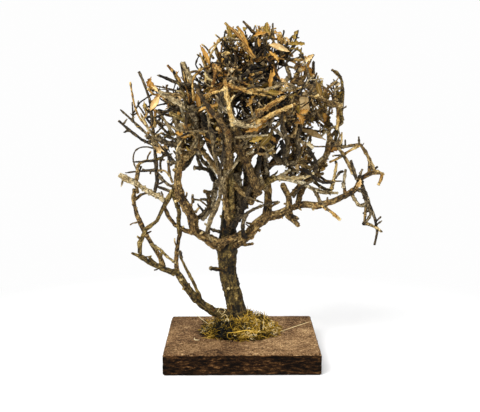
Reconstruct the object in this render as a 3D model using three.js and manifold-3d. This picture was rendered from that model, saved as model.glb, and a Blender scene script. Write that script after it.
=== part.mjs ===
import * as THREE from "three";
import { mergeVertices } from "three/addons/utils/BufferGeometryUtils.js";
import Module from "manifold-3d";

// A small tree of real twigs on a square wooden board, with moss at its foot.
// Millimetres, +Z up, +X to the right and +Y away from the front.
// The origin is the middle of the board's underside.

// Board
const BOARD_SIDE = 90;
const BOARD_THICKNESS = 12.5;
const BOARD_EDGE_BEVEL = 0.7;

// Clearance between any two glued, seated or crossing pieces
const GLUE_GAP = 0.3;

// Trunk
const TRUNK_X = -1;
const TRUNK_Y = 6;
const TRUNK_FOOT_DIAMETER = 16.5;
const TRUNK_WAIST_DIAMETER = 10.3;
const TRUNK_CROWN_DIAMETER = 12.4;
const LEADER_DIAMETER = 9.2;
const LEADER_TIP_DIAMETER = 2.2;
const ROOT_LOBES = 5;
const ROOT_LOBE_DEPTH = 0.14;

// Countersunk wood screw that holds the trunk from under the board
const SCREW_LENGTH = 30;
const SCREW_SHANK_DIAMETER = 3.5;
const SCREW_HEAD_DIAMETER = 7;
const SCREW_HEAD_HEIGHT = 2.2;
const SCREW_HEAD_RECESS = 0.6;
const SCREW_HEAD_RIM = 0.3;
const SCREW_POINT_LENGTH = 3.5;

// Glue fillet round the trunk's foot
const GLUE_WIDTH = 2.2;
const GLUE_HEIGHT = 2;

// Moss laid round the trunk's foot
const MOSS_HEIGHT = 8;
const MOSS_ROUGHNESS = 0.22;
const MOSS_REACH_SIDE = 22;
const MOSS_REACH_FRONT = 21;
const MOSS_REACH_BACK = 15;
const MOSS_EDGE = 1.4;

// Its clumps lie side by side round the trunk: directions in degrees, counter-clockwise from the right
const MOSS_CLUMPS = [
  { name: "moss_right", from: -40, to: 45 },
  { name: "moss_back", from: 45, to: 140 },
  { name: "moss_left", from: 140, to: 232 },
  { name: "moss_front", from: 232, to: 320 },
];

// The top of the moss from the trunk outwards: [share of the way out, share of the height]
const MOSS_SLOPE = [
  [0.1, 0.85],
  [0.4, 0.6],
  [0.7, 0.32],
];

// Twigs that sprout along the limbs
const TWIG_LENGTH = 29;
const TWIG_DIAMETER = 2.2;
const TWIG_TIP_DIAMETER = 1.3;
const TWIG_STEPS = 2;
const TWIG_SIDES = 3;
const TWIG_TRIES = 80;
const TWIG_LENGTH_RANGE = [0.65, 1.25];
const TWIG_GIRTH_RANGE = [0.85, 1.2];

// Dry leaves
const LEAF_THICKNESS = 0.7;

// Facets
const TRUNK_SIDES = 12;
const THICK_LIMB = 5.5;
const THICK_LIMB_SIDES = 8;
const MIDDLE_LIMB = 2.6;
const MIDDLE_LIMB_SIDES = 5;
const THIN_LIMB_SIDES = 4;
const LIMB_STEP = 8;
const TURNED_STEPS = 14;

// The routes below are drawn as the tree is seen from a point in front of it, in the
// upright plane through the origin. Each point is [to the right, above the board's
// top, depth]: a depth moves it away along its line of sight, or nearer if negative.
const VIEW_DISTANCE = 602;
const VIEW_RIGHT = -3;
const VIEW_ABOVE_BOARD = 160;

// The crown is a round egg in depth: no sprouting twig grows out of it
const CROWN_MIDDLE = [4, 135.5, 2];
const CROWN_HALF = [66, 54, 50];

// The crown's ragged outline, as it is seen from the front: [right, above the board]
const CROWN_OUTLINE = [
  [-20, 92], [-33, 108], [-46, 104], [-60, 104], [-71, 132], [-66, 150], [-56, 156], [-46, 152],
  [-38, 162], [-24, 164], [-20, 174], [-8, 180], [-2, 187], [16, 186], [31, 181], [38, 174],
  [41, 160], [46, 155], [58, 157], [62, 130], [70, 117], [72, 98], [50, 91], [26, 91],
];

// Gaps in the crown that light shows through: [right, up, half width, half height]
const OPEN_GAPS = [
  [-25, 96, 10, 13],
  [-13.5, 75, 3.6, 9.5],
  [-53, 78, 5, 6.5],
  [26.5, 155, 3.5, 7.5],
  [24, 111.5, 3.6, 6],
  [23.5, 82, 3.6, 7.5],
  [5, 79.5, 4, 8],
  [38, 65.5, 30, 11],
];

// Colours of the wood, leaves, moss and board, and of the hidden screw and glue
const BOARD_STAIN = 0x6e4636;
const SCREW_ZINC = 0xb8a878;
const GLUE_AMBER = 0xd8cfa8;
const MOSS_OLIVE = 0x8a7a2c;
const BARK_OLIVE = 0x6b5a3c;
const BARK_BROWN = 0x6a5238;
const BARK_DARK = 0x43342a;
const BARK_GREY = 0x8c7b60;
const STRAW = 0xc99a55;
const LEAF_TAN = 0xc8a264;
const LEAF_OLIVE = 0x8c7a34;
const LEAF_ORANGE = 0xb9742f;

// Habits of the wood, as shares of a limb's own girth or of a full turn of direction
const COLLAR_SWELL = 0.35;
const ROOT_FIT = 0.9;
const KNOBBLE = 0.16;
const WOBBLE = 0.12;
const TIP_ROUND = 0.45;
const TWIG_OUTWARDS = 0.7;
const TWIG_UPWARDS = 0.35;
const TWIG_BEND = 0.42;
const TWIG_RISE = 0.08;
const TWIG_ZONE_START = 0.35;
const FORK_SHARE = 0.75;
const FORK_CHANCE = 0.3;
const TRUNK_TWIGS = 4;
const SEAT_REACH = 2.5;
const DEPTH_SHIFTS = [0, 1.5, -1.5, 3, -3, 4.5, -4.5, 6, -6, 8, -8, 10, -10, 13, -13];

// Shape of the bole: how fast the flare, the lobes and the crown swelling fade, and
// how far its rings go on below the glue, where the foot is sawn off level
const BOLE_STEPS = 12;
const FOOT_TRIM = 2;
const FLARE_FADE = 0.14;
const ROOT_LOBE_FADE = 1.6;
const CROWN_SHARE = 0.86;
const CROWN_SPREAD = 0.12;

// Steps along a glue fillet, a moss clump and a leaf
const GLUE_STEPS = 2;
const MOSS_STEPS = 6;
const LEAF_STEPS = 4;

// Shape of a leaf, as shares of its width, and how its place on the wood is chosen
const LEAF_WIDEST = 0.85;
const LEAF_ROUNDNESS = 0.8;
const LEAF_ARCH = 0.12;
const LEAF_CUP = 0.35;
const LEAF_FACING = [0, -1, 0.35];
const LEAF_DEPTH_STEP = 3;
const LEAF_STALK_SHARE = 0.3;
const LEAF_SEAT = 0.75;
const LEAF_DRIFT = 0.25;
const LEAF_BACKWARDS = 0.008;

// Seeds of the random rows
const WOOD_SEED = 11;
const TWIG_SEED = 42;
const MOSS_SEED = 5;

// The bole and the leaders above it, drawn in the same way as the routes below
const BOLE = [
  [-1, 0], [-2, 7.5], [-3, 15.5], [-6, 27.5], [-8.3, 37.5], [-8.6, 47.5], [-8.5, 55.5], [-8, 63.5],
];
const LEADERS = [
  { route: [[-8.5, 53.5, 6], [-8, 63.5, 6], [-7.2, 73.5, 4.5], [-6.5, 85.5, 3.5], [-3, 99.5, 5],
            [2, 113.5, 7], [8, 127.5, 9], [13, 141.5, 10], [14.5, 155.5, 10]],
    girth: [LEADER_DIAMETER, 8.2, 4.2, LEADER_TIP_DIAMETER] },
  { route: [[-9, 40.5, 5], [-14, 40.5, 0], [-19, 41, -2]], girth: [2, 1.2] },
];

// Each piece of wood: the piece that carries it, its limbs (route, and girth as
// diameters at the root and the tip), how many twigs sprout along them, and their reach.
const WOOD = {
  second_stem: {
    on: "trunk",
    bark: BARK_OLIVE,
    limbs: [
      { route: [[-3, 8.5, 5], [-10, 12, 2], [-17.5, 14, 0], [-28.5, 23, -3], [-36.4, 33.5, -4],
                [-39, 38, -4]],
        girth: [7, 4] },
      { route: [[-23, 18.5, -2], [-27.2, 27.5, -6], [-32.6, 39, -9], [-37, 48, -9]], girth: [2.4, 1.7] },
    ],
  },
  left_outer_branch: {
    on: "second_stem",
    bark: BARK_OLIVE,
    limbs: [
      { route: [[-39, 37.5, -4], [-45.6, 39.5, -7], [-54.5, 44, -10], [-62, 49, -12]], girth: [3.6, 2.8] },
      { route: [[-60, 48, -11.5], [-63.5, 49, -13], [-66, 50, -14]], girth: [2.4, 1.6] },
      { route: [[-50, 41.5, -8.5], [-53, 45, -7], [-55.5, 48, -6]], girth: [2, 1.3] },
    ],
  },
  left_outer_riser: {
    on: "left_outer_branch",
    bark: BARK_OLIVE,
    limbs: [
      { route: [[-61, 48.5, -12], [-61, 56.5, -13], [-57.5, 64, -13], [-50, 70, -12], [-46, 79, -9],
                [-42.5, 84.5, -6]],
        girth: [2.9, 2.2] },
    ],
  },
  left_cross_branch: {
    on: "left_outer_branch",
    bark: BARK_BROWN,
    limbs: [
      { route: [[-46.5, 40, -7], [-49, 47.5, -3.5], [-55.7, 58.5, -3], [-62.4, 73, -4], [-64.2, 81.5, -4],
                [-64, 89, -5]],
        girth: [3.2, 2.4] },
      { route: [[-64.2, 82, -4], [-61, 85, -3], [-54, 87, -2]], girth: [2.2, 1.6] },
    ],
  },
  left_limb: {
    on: "trunk",
    bark: BARK_BROWN,
    limbs: [
      { route: [[-8.5, 53, 6], [-13, 54, 3], [-21, 59, 0], [-27.7, 63.5, -3], [-29.7, 73, -5],
                [-34.3, 79.5, -7], [-37.6, 87.5, -8], [-37.8, 97, -9], [-36, 109, -9], [-36.5, 121.5, -9],
                [-40, 134.5, -10]],
        girth: [7.6, 6.4, 5.2, 2.8] },
      { route: [[-29.3, 77.5, -6], [-29, 81, -8], [-28.7, 85.5, -9]], girth: [1.8, 1.2] },
      { route: [[-28.5, 73.5, -5], [-26.8, 75.5, -7], [-25.2, 77.5, -8]], girth: [1.7, 1.2] },
    ],
    twigs: 3,
  },
  left_bridge: {
    on: "left_limb",
    bark: BARK_BROWN,
    limbs: [
      { route: [[-25.5, 62, -2], [-31, 63, 0], [-38.2, 65.5, 0], [-44.3, 73.5, -5], [-46.5, 78.5, -9]],
        girth: [3, 2.5] },
    ],
    meets: "left_outer_riser",
  },
  left_riser: {
    on: "second_stem",
    bark: BARK_BROWN,
    limbs: [
      { route: [[-38.6, 37.5, -4], [-39.2, 45.5, 0], [-38.4, 53.5, 1], [-37.8, 62.5, 1.5]],
        girth: [3, 2.5] },
      { route: [[-39.4, 48.5, 0], [-37.6, 49.5, 0], [-35.6, 50, 0]], girth: [1.8, 1.2] },
    ],
    meets: "left_bridge",
  },
  left_spear: {
    on: "left_outer_riser",
    bark: BARK_GREY,
    limbs: [
      { route: [[-44.5, 82, -7.5], [-49, 84, -8], [-57.7, 89, -9], [-66, 93.5, -10], [-73, 97, -11]],
        girth: [3, 2] },
    ],
  },
  left_upright: {
    on: "left_spear",
    bark: BARK_DARK,
    limbs: [
      { route: [[-52, 85.5, -8.5], [-50.2, 93.5, -9], [-51.3, 112, -9], [-52.3, 127.5, -8],
                [-54.2, 143, -6], [-59.6, 157.5, -4]],
        girth: [2.6, 1.5] },
      { route: [[-51.8, 114.5, -9], [-60, 119, -12], [-67.2, 125, -14], [-72.5, 129.5, -15]],
        girth: [2.1, 1.7] },
      { route: [[-65.5, 123.5, -13.5], [-67.7, 123.5, -14], [-69.5, 122.5, -15]], girth: [1.4, 1.1] },
      { route: [[-51.5, 118, -9], [-59.5, 125, -6], [-65.5, 130.5, -4], [-71.3, 136, -3]],
        girth: [1.9, 1.3] },
      { route: [[-64, 129, -4.5], [-64, 134.5, -4], [-64.2, 140.5, -3]], girth: [1.4, 1.1] },
      { route: [[-52, 106, -9], [-58.4, 105, -11], [-64.2, 105, -12]], girth: [1.6, 1.1] },
      { route: [[-51.5, 100, -9], [-59.5, 99.5, -7], [-69, 98.5, -6]], girth: [1.6, 1.1] },
    ],
    twigs: 4,
  },
  left_fork_stem: {
    on: "left_limb",
    bark: BARK_DARK,
    limbs: [
      { route: [[-37.4, 99.5, -9], [-31.3, 106.5, -7], [-27, 114.5, -6], [-27.2, 125.5, -6],
                [-28.5, 137.5, -5], [-32, 150.5, -3], [-35, 163, -1]],
        girth: [4.2, 3.8, 2] },
      { route: [[-30.5, 147.5, -3.5], [-38.4, 152, -6], [-48.6, 156, -8]], girth: [1.8, 1.1] },
      { route: [[-27.2, 121.5, -6], [-36, 132.5, -10], [-46, 144.5, -13]], girth: [1.9, 1.2] },
      { route: [[-27.4, 126.5, -6], [-36, 135.5, -3], [-44, 141.5, 0]], girth: [1.8, 1.1] },
    ],
    twigs: 6,
  },
  left_connector: {
    on: "left_fork_stem",
    bark: BARK_BROWN,
    limbs: [
      { route: [[-28, 113.5, -6.5], [-34.8, 115, -4], [-42, 115, -4], [-50.9, 119.5, -9]],
        girth: [2.7, 2.2] },
    ],
    meets: "left_upright",
  },
  curved_stem: {
    on: "left_limb",
    bark: BARK_DARK,
    limbs: [
      { route: [[-29, 69.5, -4], [-24.4, 72.5, 0], [-19, 78, 4], [-16, 90, 7], [-17, 99.5, 9],
                [-24, 106.5, 11], [-28, 118.5, 14], [-30, 133.5, 16]],
        girth: [3.4, 2.2] },
      { route: [[-16.6, 86.5, 6], [-19.5, 87, 6], [-22.5, 87.5, 6]], girth: [1.9, 1.4] },
    ],
    twigs: 4,
  },
  front_stem: {
    on: "left_limb",
    bark: BARK_GREY,
    limbs: [
      { route: [[-20.4, 59, 0], [-19.6, 67.5, -7], [-13, 82.5, -14], [-12.2, 93.5, -18],
                [-15.5, 109.5, -22], [-18.5, 125.5, -25], [-20, 139.5, -25]],
        girth: [3, 2] },
    ],
    twigs: 5,
  },
  right_limb: {
    on: "trunk",
    bark: BARK_BROWN,
    limbs: [
      { route: [[-7.5, 55, 6], [-1, 57.5, 4], [5.5, 62.5, 2], [13.5, 71.5, 0], [21.5, 73, -2],
                [28.4, 75, -4], [28.6, 82, -4], [24.5, 91, -3]],
        girth: [7.4, 6.4, 5, 3.4] },
      { route: [[27.6, 74.5, -4], [30.6, 70, -5], [34.2, 66.5, -6]], girth: [4, 3] },
      { route: [[-2, 57, 4.5], [3, 54.5, 2.5], [7.2, 55.5, 1]], girth: [2.6, 1.6] },
      { route: [[17, 72.5, -1], [18, 79.5, -4], [22.2, 80.5, -5]], girth: [2, 1.5] },
    ],
  },
  right_arm: {
    on: "right_limb",
    bark: BARK_BROWN,
    limbs: [
      { route: [[28.4, 77, -4], [34.9, 79.5, -6], [42, 78.5, -8], [54.9, 81, -10], [62, 84.5, -10],
                [69.5, 89, -10]],
        girth: [4.6, 3] },
      { route: [[51, 80, -9.5], [51.3, 81.5, -10], [51.6, 83, -10.5]], girth: [1.5, 0.9] },
      { route: [[62, 84.5, -10], [61, 91.5, -8], [61.8, 100, -6]], girth: [1.8, 1.1] },
    ],
  },
  hanging_branch: {
    on: "right_arm",
    bark: BARK_DARK,
    limbs: [
      { route: [[68.6, 88.5, -10], [71.8, 90.5, -11], [75.5, 81.5, -12], [80.4, 70, -12],
                [81.4, 61.5, -11], [80, 54.5, -10]],
        girth: [3.2, 1.4] },
      { route: [[75.3, 82, -12], [74.7, 73.5, -14], [74.2, 68, -15]], girth: [1.6, 1.1] },
      { route: [[75.5, 80, -12], [71.5, 78, -10], [66.5, 83.5, -8]], girth: [1.7, 1.1] },
      { route: [[80.8, 64, -11.5], [82.8, 63.5, -12], [84.5, 62.5, -13]], girth: [1.4, 1] },
      { route: [[80.9, 65, -11.5], [76.9, 66.5, -10], [72.5, 67, -9]], girth: [1.4, 1] },
    ],
  },
  right_tip: {
    on: "right_arm",
    bark: BARK_BROWN,
    limbs: [
      { route: [[67.8, 88, -10], [70.5, 94, -9], [77.5, 98, -8], [84, 98, -7], [82, 91, -7]],
        girth: [3.4, 1.7] },
      { route: [[69.8, 93, -9], [66.6, 97.5, -7], [61.5, 107, -4], [55.7, 115, -1]], girth: [1.8, 1.2] },
      { route: [[76.5, 97.5, -8], [76, 104.5, -10], [72, 115, -12], [63, 114.5, -13]], girth: [1.6, 1] },
    ],
    twigs: 2,
  },
  right_riser: {
    on: "right_limb",
    bark: BARK_BROWN,
    limbs: [
      { route: [[14.2, 72, 0], [16.4, 82.5, 2], [15, 93.5, 3], [12.6, 105.5, 4], [13, 119.5, 5],
                [16.5, 135.5, 7], [19, 150.5, 8], [18.6, 167.5, 7]],
        girth: [5.2, 2] },
    ],
    twigs: 6,
  },
  crossing_stem: {
    on: "right_riser",
    bark: BARK_GREY,
    limbs: [
      { route: [[15.8, 88, 2.5], [10, 94, -4], [3.4, 103, -9], [0, 111.5, -12], [-5.4, 120.5, -14],
                [-7, 133.5, -16], [-4, 147.5, -16], [-1, 161.5, -13]],
        girth: [5.4, 4.6, 2.2] },
      { route: [[-4.5, 119, -14], [-10, 127, -18], [-17, 135, -21], [-22, 144, -22]], girth: [3.2, 2] },
    ],
    twigs: 7,
  },
  grey_sidebranch: {
    on: "right_riser",
    bark: BARK_GREY,
    limbs: [
      { route: [[15, 95, 3], [25.5, 94.5, -3], [38.9, 90.5, -6], [46, 87.5, -7], [57.2, 86, -6]],
        girth: [2.6, 1.3] },
      { route: [[42.5, 88.5, -6.5], [46.9, 81.5, -14], [54.2, 73.5, -18], [59.2, 70, -19]],
        girth: [1.7, 1.2] },
      { route: [[34, 92, -5], [40, 97.5, -2], [46, 105.5, 0]], girth: [1.5, 1.1] },
    ],
  },
  right_stem: {
    on: "right_arm",
    bark: BARK_BROWN,
    limbs: [
      { route: [[33.5, 79, -5.5], [36, 88.5, 2], [43.5, 97, 7], [50.5, 108, 9], [52.3, 118.5, 9],
                [50, 130.5, 9], [46, 141.5, 9]],
        girth: [4.2, 3.4, 2] },
      { route: [[52.3, 117.5, 9], [57, 125.5, 7], [59.5, 134.5, 6], [59.8, 149.5, 5], [57.5, 156.5, 4],
                [53.4, 159, 3]],
        girth: [2.2, 1.4] },
      { route: [[43.8, 97.5, 7], [49.6, 93.5, 4], [59.8, 93, 2]], girth: [1.9, 1.2] },
    ],
    twigs: 8,
  },
  back_limb_left: {
    on: "trunk",
    bark: BARK_BROWN,
    limbs: [
      { route: [[-7.5, 65.5, 5], [-6.5, 75.5, 14], [-9, 89.5, 23], [-15, 105.5, 32], [-22, 121.5, 39],
                [-27, 135.5, 42]],
        girth: [5, 2.1] },
    ],
    twigs: 6,
  },
  back_limb_right: {
    on: "trunk",
    bark: BARK_BROWN,
    limbs: [
      { route: [[-7, 71.5, 4.5], [-1, 81.5, 13], [6, 95.5, 23], [15, 109.5, 33], [25, 123.5, 40],
                [33, 137.5, 43]],
        girth: [5, 2.1] },
    ],
    twigs: 6,
  },
  back_limb_middle: {
    on: "back_limb_right",
    bark: BARK_DARK,
    limbs: [
      { route: [[3, 88.5, 18], [3, 103.5, 25], [4, 121.5, 32], [2, 139.5, 36], [0, 155.5, 35]],
        girth: [3.8, 1.9] },
    ],
    twigs: 6,
  },
  right_back_stem: {
    on: "right_riser",
    bark: BARK_DARK,
    limbs: [
      { route: [[13.6, 99.5, 3.5], [22, 108.5, 12], [31, 119.5, 18], [38, 133.5, 22], [42, 147.5, 22],
                [42.5, 163.5, 19]],
        girth: [4, 1.8] },
    ],
    twigs: 7,
  },
  front_limb_right: {
    on: "crossing_stem",
    bark: BARK_BROWN,
    limbs: [
      { route: [[2.8, 104, -9.5], [8, 110.5, -18], [16, 120.5, -27], [25, 131.5, -33], [31, 143.5, -34]],
        girth: [3.2, 1.8] },
    ],
    twigs: 7,
  },
  front_limb_left: {
    on: "front_stem",
    bark: BARK_DARK,
    limbs: [
      { route: [[-13, 99.5, -19.5], [-10, 109.5, -28], [-12, 123.5, -36], [-12, 139.5, -40],
                [-8, 153.5, -38]],
        girth: [2.5, 1.6] },
    ],
    twigs: 7,
  },
  leader_left: {
    on: "trunk",
    bark: BARK_OLIVE,
    limbs: [
      { route: [[-7, 78.5, 4], [-9.5, 90.5, 3], [-9, 105.5, 1], [-12, 121.5, -2], [-17, 137.5, -4],
                [-20, 153.5, -4], [-22, 171.5, -3]],
        girth: [4.8, 1.8] },
    ],
    twigs: 7,
  },
  crown_top: {
    on: "trunk",
    bark: BARK_DARK,
    limbs: [
      { route: [[14.5, 155.5, 10], [22, 163.5, 6], [30, 171.5, 4], [33.5, 182, 3]], girth: [2.2, 1.3] },
      { route: [[14.5, 153.5, 10], [9, 165.5, 4], [10, 175.5, 0], [15, 185.5, -3]], girth: [2, 1.3] },
    ],
    twigs: 10,
  },
  crown_left: {
    on: "leader_left",
    bark: STRAW,
    limbs: [
      { route: [[-19.3, 149.5, -4], [-12, 161.5, -10], [-13, 169.5, -12], [-15.5, 174.5, -13]],
        girth: [1.9, 1.3] },
      { route: [[-15, 157.5, -9], [-24, 163.5, -14], [-24, 168.5, -15]], girth: [1.5, 1] },
      { route: [[-14, 160.5, -9.5], [-4, 171.5, -16], [-8, 185.5, -18]], girth: [1.6, 1.1] },
    ],
    twigs: 8,
  },
  straw_antler: {
    on: "crossing_stem",
    bark: STRAW,
    limbs: [
      { route: [[-6.5, 125.5, -14.5], [-6.6, 133.5, -22], [-8.6, 143.5, -24], [-9.5, 154.5, -25]],
        girth: [2.2, 1.4] },
      { route: [[-6.6, 129.5, -19], [3.4, 128.5, -26], [16.9, 132, -34], [29.9, 137.5, -40]],
        girth: [1.9, 1.3] },
      { route: [[6, 129, -27.5], [15, 136.5, -36], [24, 142, -40]], girth: [1.5, 1.1] },
      { route: [[-9, 147.5, -24.5], [3, 146.5, -30], [18, 143, -35]], girth: [1.6, 1.1] },
    ],
    twigs: 2,
  },
};

// Each leaf: its stalk and its tip as they are seen, and the width of its blade
const LEAVES = {
  leaf_big_right: { base: [34, 128], tip: [36, 143.5], width: 7.4, tint: LEAF_TAN },
  leaf_low_right: { base: [34.5, 124], tip: [50, 117.5], width: 3.8, tint: LEAF_TAN },
  leaf_olive_middle: { base: [12.5, 113], tip: [20.5, 121.5], width: 4, tint: LEAF_OLIVE },
  leaf_narrow_middle: { base: [0, 118], tip: [15, 120], width: 2.2, tint: LEAF_OLIVE },
  leaf_straw_middle: { base: [3.5, 124], tip: [15, 127.5], width: 2.6, tint: LEAF_TAN },
  leaf_outer_right: { base: [47.5, 145], tip: [45, 154], width: 3.4, tint: LEAF_OLIVE },
  leaf_rim_right: { base: [52.5, 111], tip: [58.5, 113.5], width: 3.4, tint: LEAF_ORANGE },
  leaf_orange_upper: { base: [17, 148], tip: [17.6, 160], width: 2, tint: LEAF_ORANGE },
  leaf_top_right: { base: [15, 173.5], tip: [28.5, 169], width: 3.2, tint: LEAF_TAN },
  leaf_top_left: { base: [4.5, 171.5], tip: [-8, 185], width: 2.4, tint: STRAW },
  leaf_left_fold: { base: [-54, 135], tip: [-48, 144], width: 4.6, tint: STRAW },
  leaf_left_tip: { base: [-51, 146.5], tip: [-54, 154], width: 3.6, tint: LEAF_ORANGE },
  leaf_upper_left: { base: [-19.5, 164], tip: [-23, 173.5], width: 2.6, tint: LEAF_ORANGE },
};

const wasm = await Module();
wasm.setup();
const { Manifold, Mesh: SolidMesh } = wasm;

const BOARD_TOP = BOARD_THICKNESS;
const REST_ON_BOARD = BOARD_TOP + GLUE_GAP;
const UP = new THREE.Vector3(0, 0, 1);

// The same row of numbers between 0 and 1 for the same seed
function seeded(seed) {
  let state = seed >>> 0;
  return () => {
    state = (state + 0x6d2b79f5) >>> 0;
    let mixed = Math.imul(state ^ (state >>> 15), 1 | state);
    mixed = (mixed + Math.imul(mixed ^ (mixed >>> 7), 61 | mixed)) ^ mixed;
    return ((mixed ^ (mixed >>> 14)) >>> 0) / 4294967296;
  };
}

function lerp(from, to, share) {
  return from + (to - from) * share;
}

// A drawn point [right, above the board, depth] in space
function place([right, above, depth = 0]) {
  const eye = new THREE.Vector3(VIEW_RIGHT, -VIEW_DISTANCE, BOARD_TOP + VIEW_ABOVE_BOARD);
  const drawn = new THREE.Vector3(right, 0, BOARD_TOP + above);
  return eye.lerp(drawn, 1 + depth / VIEW_DISTANCE);
}

// The drawn [right, above the board] at which a point in space is seen
function seenAt(point) {
  const share = VIEW_DISTANCE / (point.y + VIEW_DISTANCE);
  const right = lerp(VIEW_RIGHT, point.x, share);
  const above = lerp(VIEW_ABOVE_BOARD, point.z - BOARD_TOP, share);
  return [right, above];
}

function toSolid(positions, triangles) {
  return new Manifold(
    new SolidMesh({
      numProp: 3,
      vertProperties: new Float32Array(positions),
      triVerts: new Uint32Array(triangles),
    }),
  );
}

function geometryToSolid(geometry) {
  geometry.deleteAttribute("normal");
  geometry.deleteAttribute("uv");
  const merged = mergeVertices(geometry);
  return toSolid(merged.getAttribute("position").array, merged.index.array);
}

function solidToGeometry(solid) {
  const mesh = solid.getMesh();
  const geometry = new THREE.BufferGeometry();
  geometry.setAttribute("position", new THREE.BufferAttribute(mesh.vertProperties, mesh.numProp));
  geometry.setIndex(new THREE.BufferAttribute(mesh.triVerts, 1));
  geometry.computeVertexNormals();
  return geometry;
}

// The largest body of a solid that a cut may have left in several
function largestBody(solid) {
  const bodies = solid.decompose();
  bodies.sort((first, second) => second.volume() - first.volume());
  return bodies[0];
}

// A turned solid round the upright axis through the trunk's foot
function turned(profile) {
  const points = profile.map(([radius, height]) => new THREE.Vector2(radius, height));
  const geometry = new THREE.LatheGeometry(points, TURNED_STEPS);
  geometry.rotateX(Math.PI / 2);
  geometry.translate(TRUNK_X, TRUNK_Y, 0);
  return geometryToSolid(geometry);
}

// Rings of points joined into one closed skin, with a pole at each end
function skin(rings, firstPole, lastPole) {
  const positions = [];
  const triangles = [];
  const sides = rings[0].length;
  rings.flat().forEach((point) => positions.push(point.x, point.y, point.z));
  for (let ring = 0; ring < rings.length - 1; ring += 1) {
    for (let side = 0; side < sides; side += 1) {
      const next = (side + 1) % sides;
      const near = ring * sides;
      const far = near + sides;
      triangles.push(near + side, near + next, far + next);
      triangles.push(near + side, far + next, far + side);
    }
  }
  const first = positions.length / 3;
  positions.push(firstPole.x, firstPole.y, firstPole.z, lastPole.x, lastPole.y, lastPole.z);
  const top = (rings.length - 1) * sides;
  for (let side = 0; side < sides; side += 1) {
    const next = (side + 1) % sides;
    triangles.push(first, next, side);
    triangles.push(first + 1, top + side, top + next);
  }
  return toSolid(positions, triangles);
}

// A limb is a centre line with a radius at each point. Its skin is swept along the line
// on a frame that turns no more than the line does; grow makes it fatter and longer.
function limbSolid(limb, grow = 0) {
  const { points, radii, sides, lobes = 0, lobeDepth = () => 0 } = limb;
  const rings = [];
  let across = new THREE.Vector3(0, -1, 0);
  const heading = new THREE.Vector3();
  points.forEach((point, index) => {
    const before = points[Math.max(index - 1, 0)];
    const after = points[Math.min(index + 1, points.length - 1)];
    heading.subVectors(after, before).normalize();
    across = across.clone().addScaledVector(heading, -across.dot(heading)).normalize();
    const along = new THREE.Vector3().crossVectors(heading, across);
    const ring = [];
    for (let side = 0; side < sides; side += 1) {
      const turn = (side / sides) * 2 * Math.PI;
      const swell = 1 + lobeDepth(index) * Math.cos(lobes * turn);
      const radius = radii[index] * swell + grow;
      const corner = point.clone();
      corner.addScaledVector(across, radius * Math.cos(turn));
      corner.addScaledVector(along, radius * Math.sin(turn));
      ring.push(corner);
    }
    rings.push(ring);
  });
  const rootHeading = new THREE.Vector3().subVectors(points[0], points[1]).normalize();
  const tipHeading = new THREE.Vector3().subVectors(points.at(-1), points.at(-2)).normalize();
  const rootPole = points[0].clone().addScaledVector(rootHeading, grow);
  const tipPole = points.at(-1).clone().addScaledVector(tipHeading, radii.at(-1) * TIP_ROUND + grow);
  if (grow > 0) {
    rings[0].forEach((corner) => corner.addScaledVector(rootHeading, grow));
    rings.at(-1).forEach((corner) => corner.addScaledVector(tipHeading, grow));
  }
  return skin(rings, rootPole, tipPole);
}

// A diameter part of the way along a list of diameters
function girthAt(girth, share) {
  const spot = share * (girth.length - 1);
  const index = Math.min(Math.floor(spot), girth.length - 2);
  return lerp(girth[index], girth[index + 1], spot - index);
}

function sidesFor(diameter) {
  if (diameter > THICK_LIMB) return THICK_LIMB_SIDES;
  if (diameter > MIDDLE_LIMB) return MIDDLE_LIMB_SIDES;
  return THIN_LIMB_SIDES;
}

// The least distance between two straight stretches, for keeping crossing wood apart
function segmentDistance(first, second) {
  const u = new THREE.Vector3().subVectors(first.to, first.from);
  const v = new THREE.Vector3().subVectors(second.to, second.from);
  const w = new THREE.Vector3().subVectors(first.from, second.from);
  const a = u.dot(u);
  const b = u.dot(v);
  const c = v.dot(v);
  const d = u.dot(w);
  const e = v.dot(w);
  const span = a * c - b * b;
  let s = span > 0 ? THREE.MathUtils.clamp((b * e - c * d) / span, 0, 1) : 0;
  const t = THREE.MathUtils.clamp((b * s + e) / c, 0, 1);
  s = THREE.MathUtils.clamp((b * t - d) / a, 0, 1);
  return w.addScaledVector(u, s).addScaledVector(v, -t).length();
}

// Everything grown so far, as short straight stretches of known thickness
const stretches = [];
const limbsOf = new Map();

function stretchesOf(node, limb) {
  const found = [];
  for (let index = 0; index < limb.points.length - 1; index += 1) {
    const radius = Math.max(limb.radii[index], limb.radii[index + 1]);
    found.push({ node, limb, from: limb.points[index], to: limb.points[index + 1], radius });
  }
  return found;
}

function addLimb(node, limb) {
  if (!limbsOf.has(node)) limbsOf.set(node, []);
  limbsOf.get(node).push(limb);
  stretches.push(...stretchesOf(node, limb));
}

// The point of a node's centre lines nearest to a wanted point, and the limb's radius there
function nearestOn(node, wanted) {
  let best = { distance: Infinity };
  const line = new THREE.Line3();
  for (const stretch of stretches) {
    if (stretch.node !== node) continue;
    line.set(stretch.from, stretch.to);
    const point = line.closestPointToPoint(wanted, true, new THREE.Vector3());
    const distance = point.distanceTo(wanted);
    if (distance < best.distance) best = { distance, point, radius: stretch.radius };
  }
  return best;
}

// Whether a stretch comes within a seat
function reaches(stretch, seat) {
  const line = new THREE.Line3(stretch.from, stretch.to);
  const nearest = line.closestPointToPoint(seat.point, true, new THREE.Vector3());
  return nearest.distanceTo(seat.point) < seat.radius;
}

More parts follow.
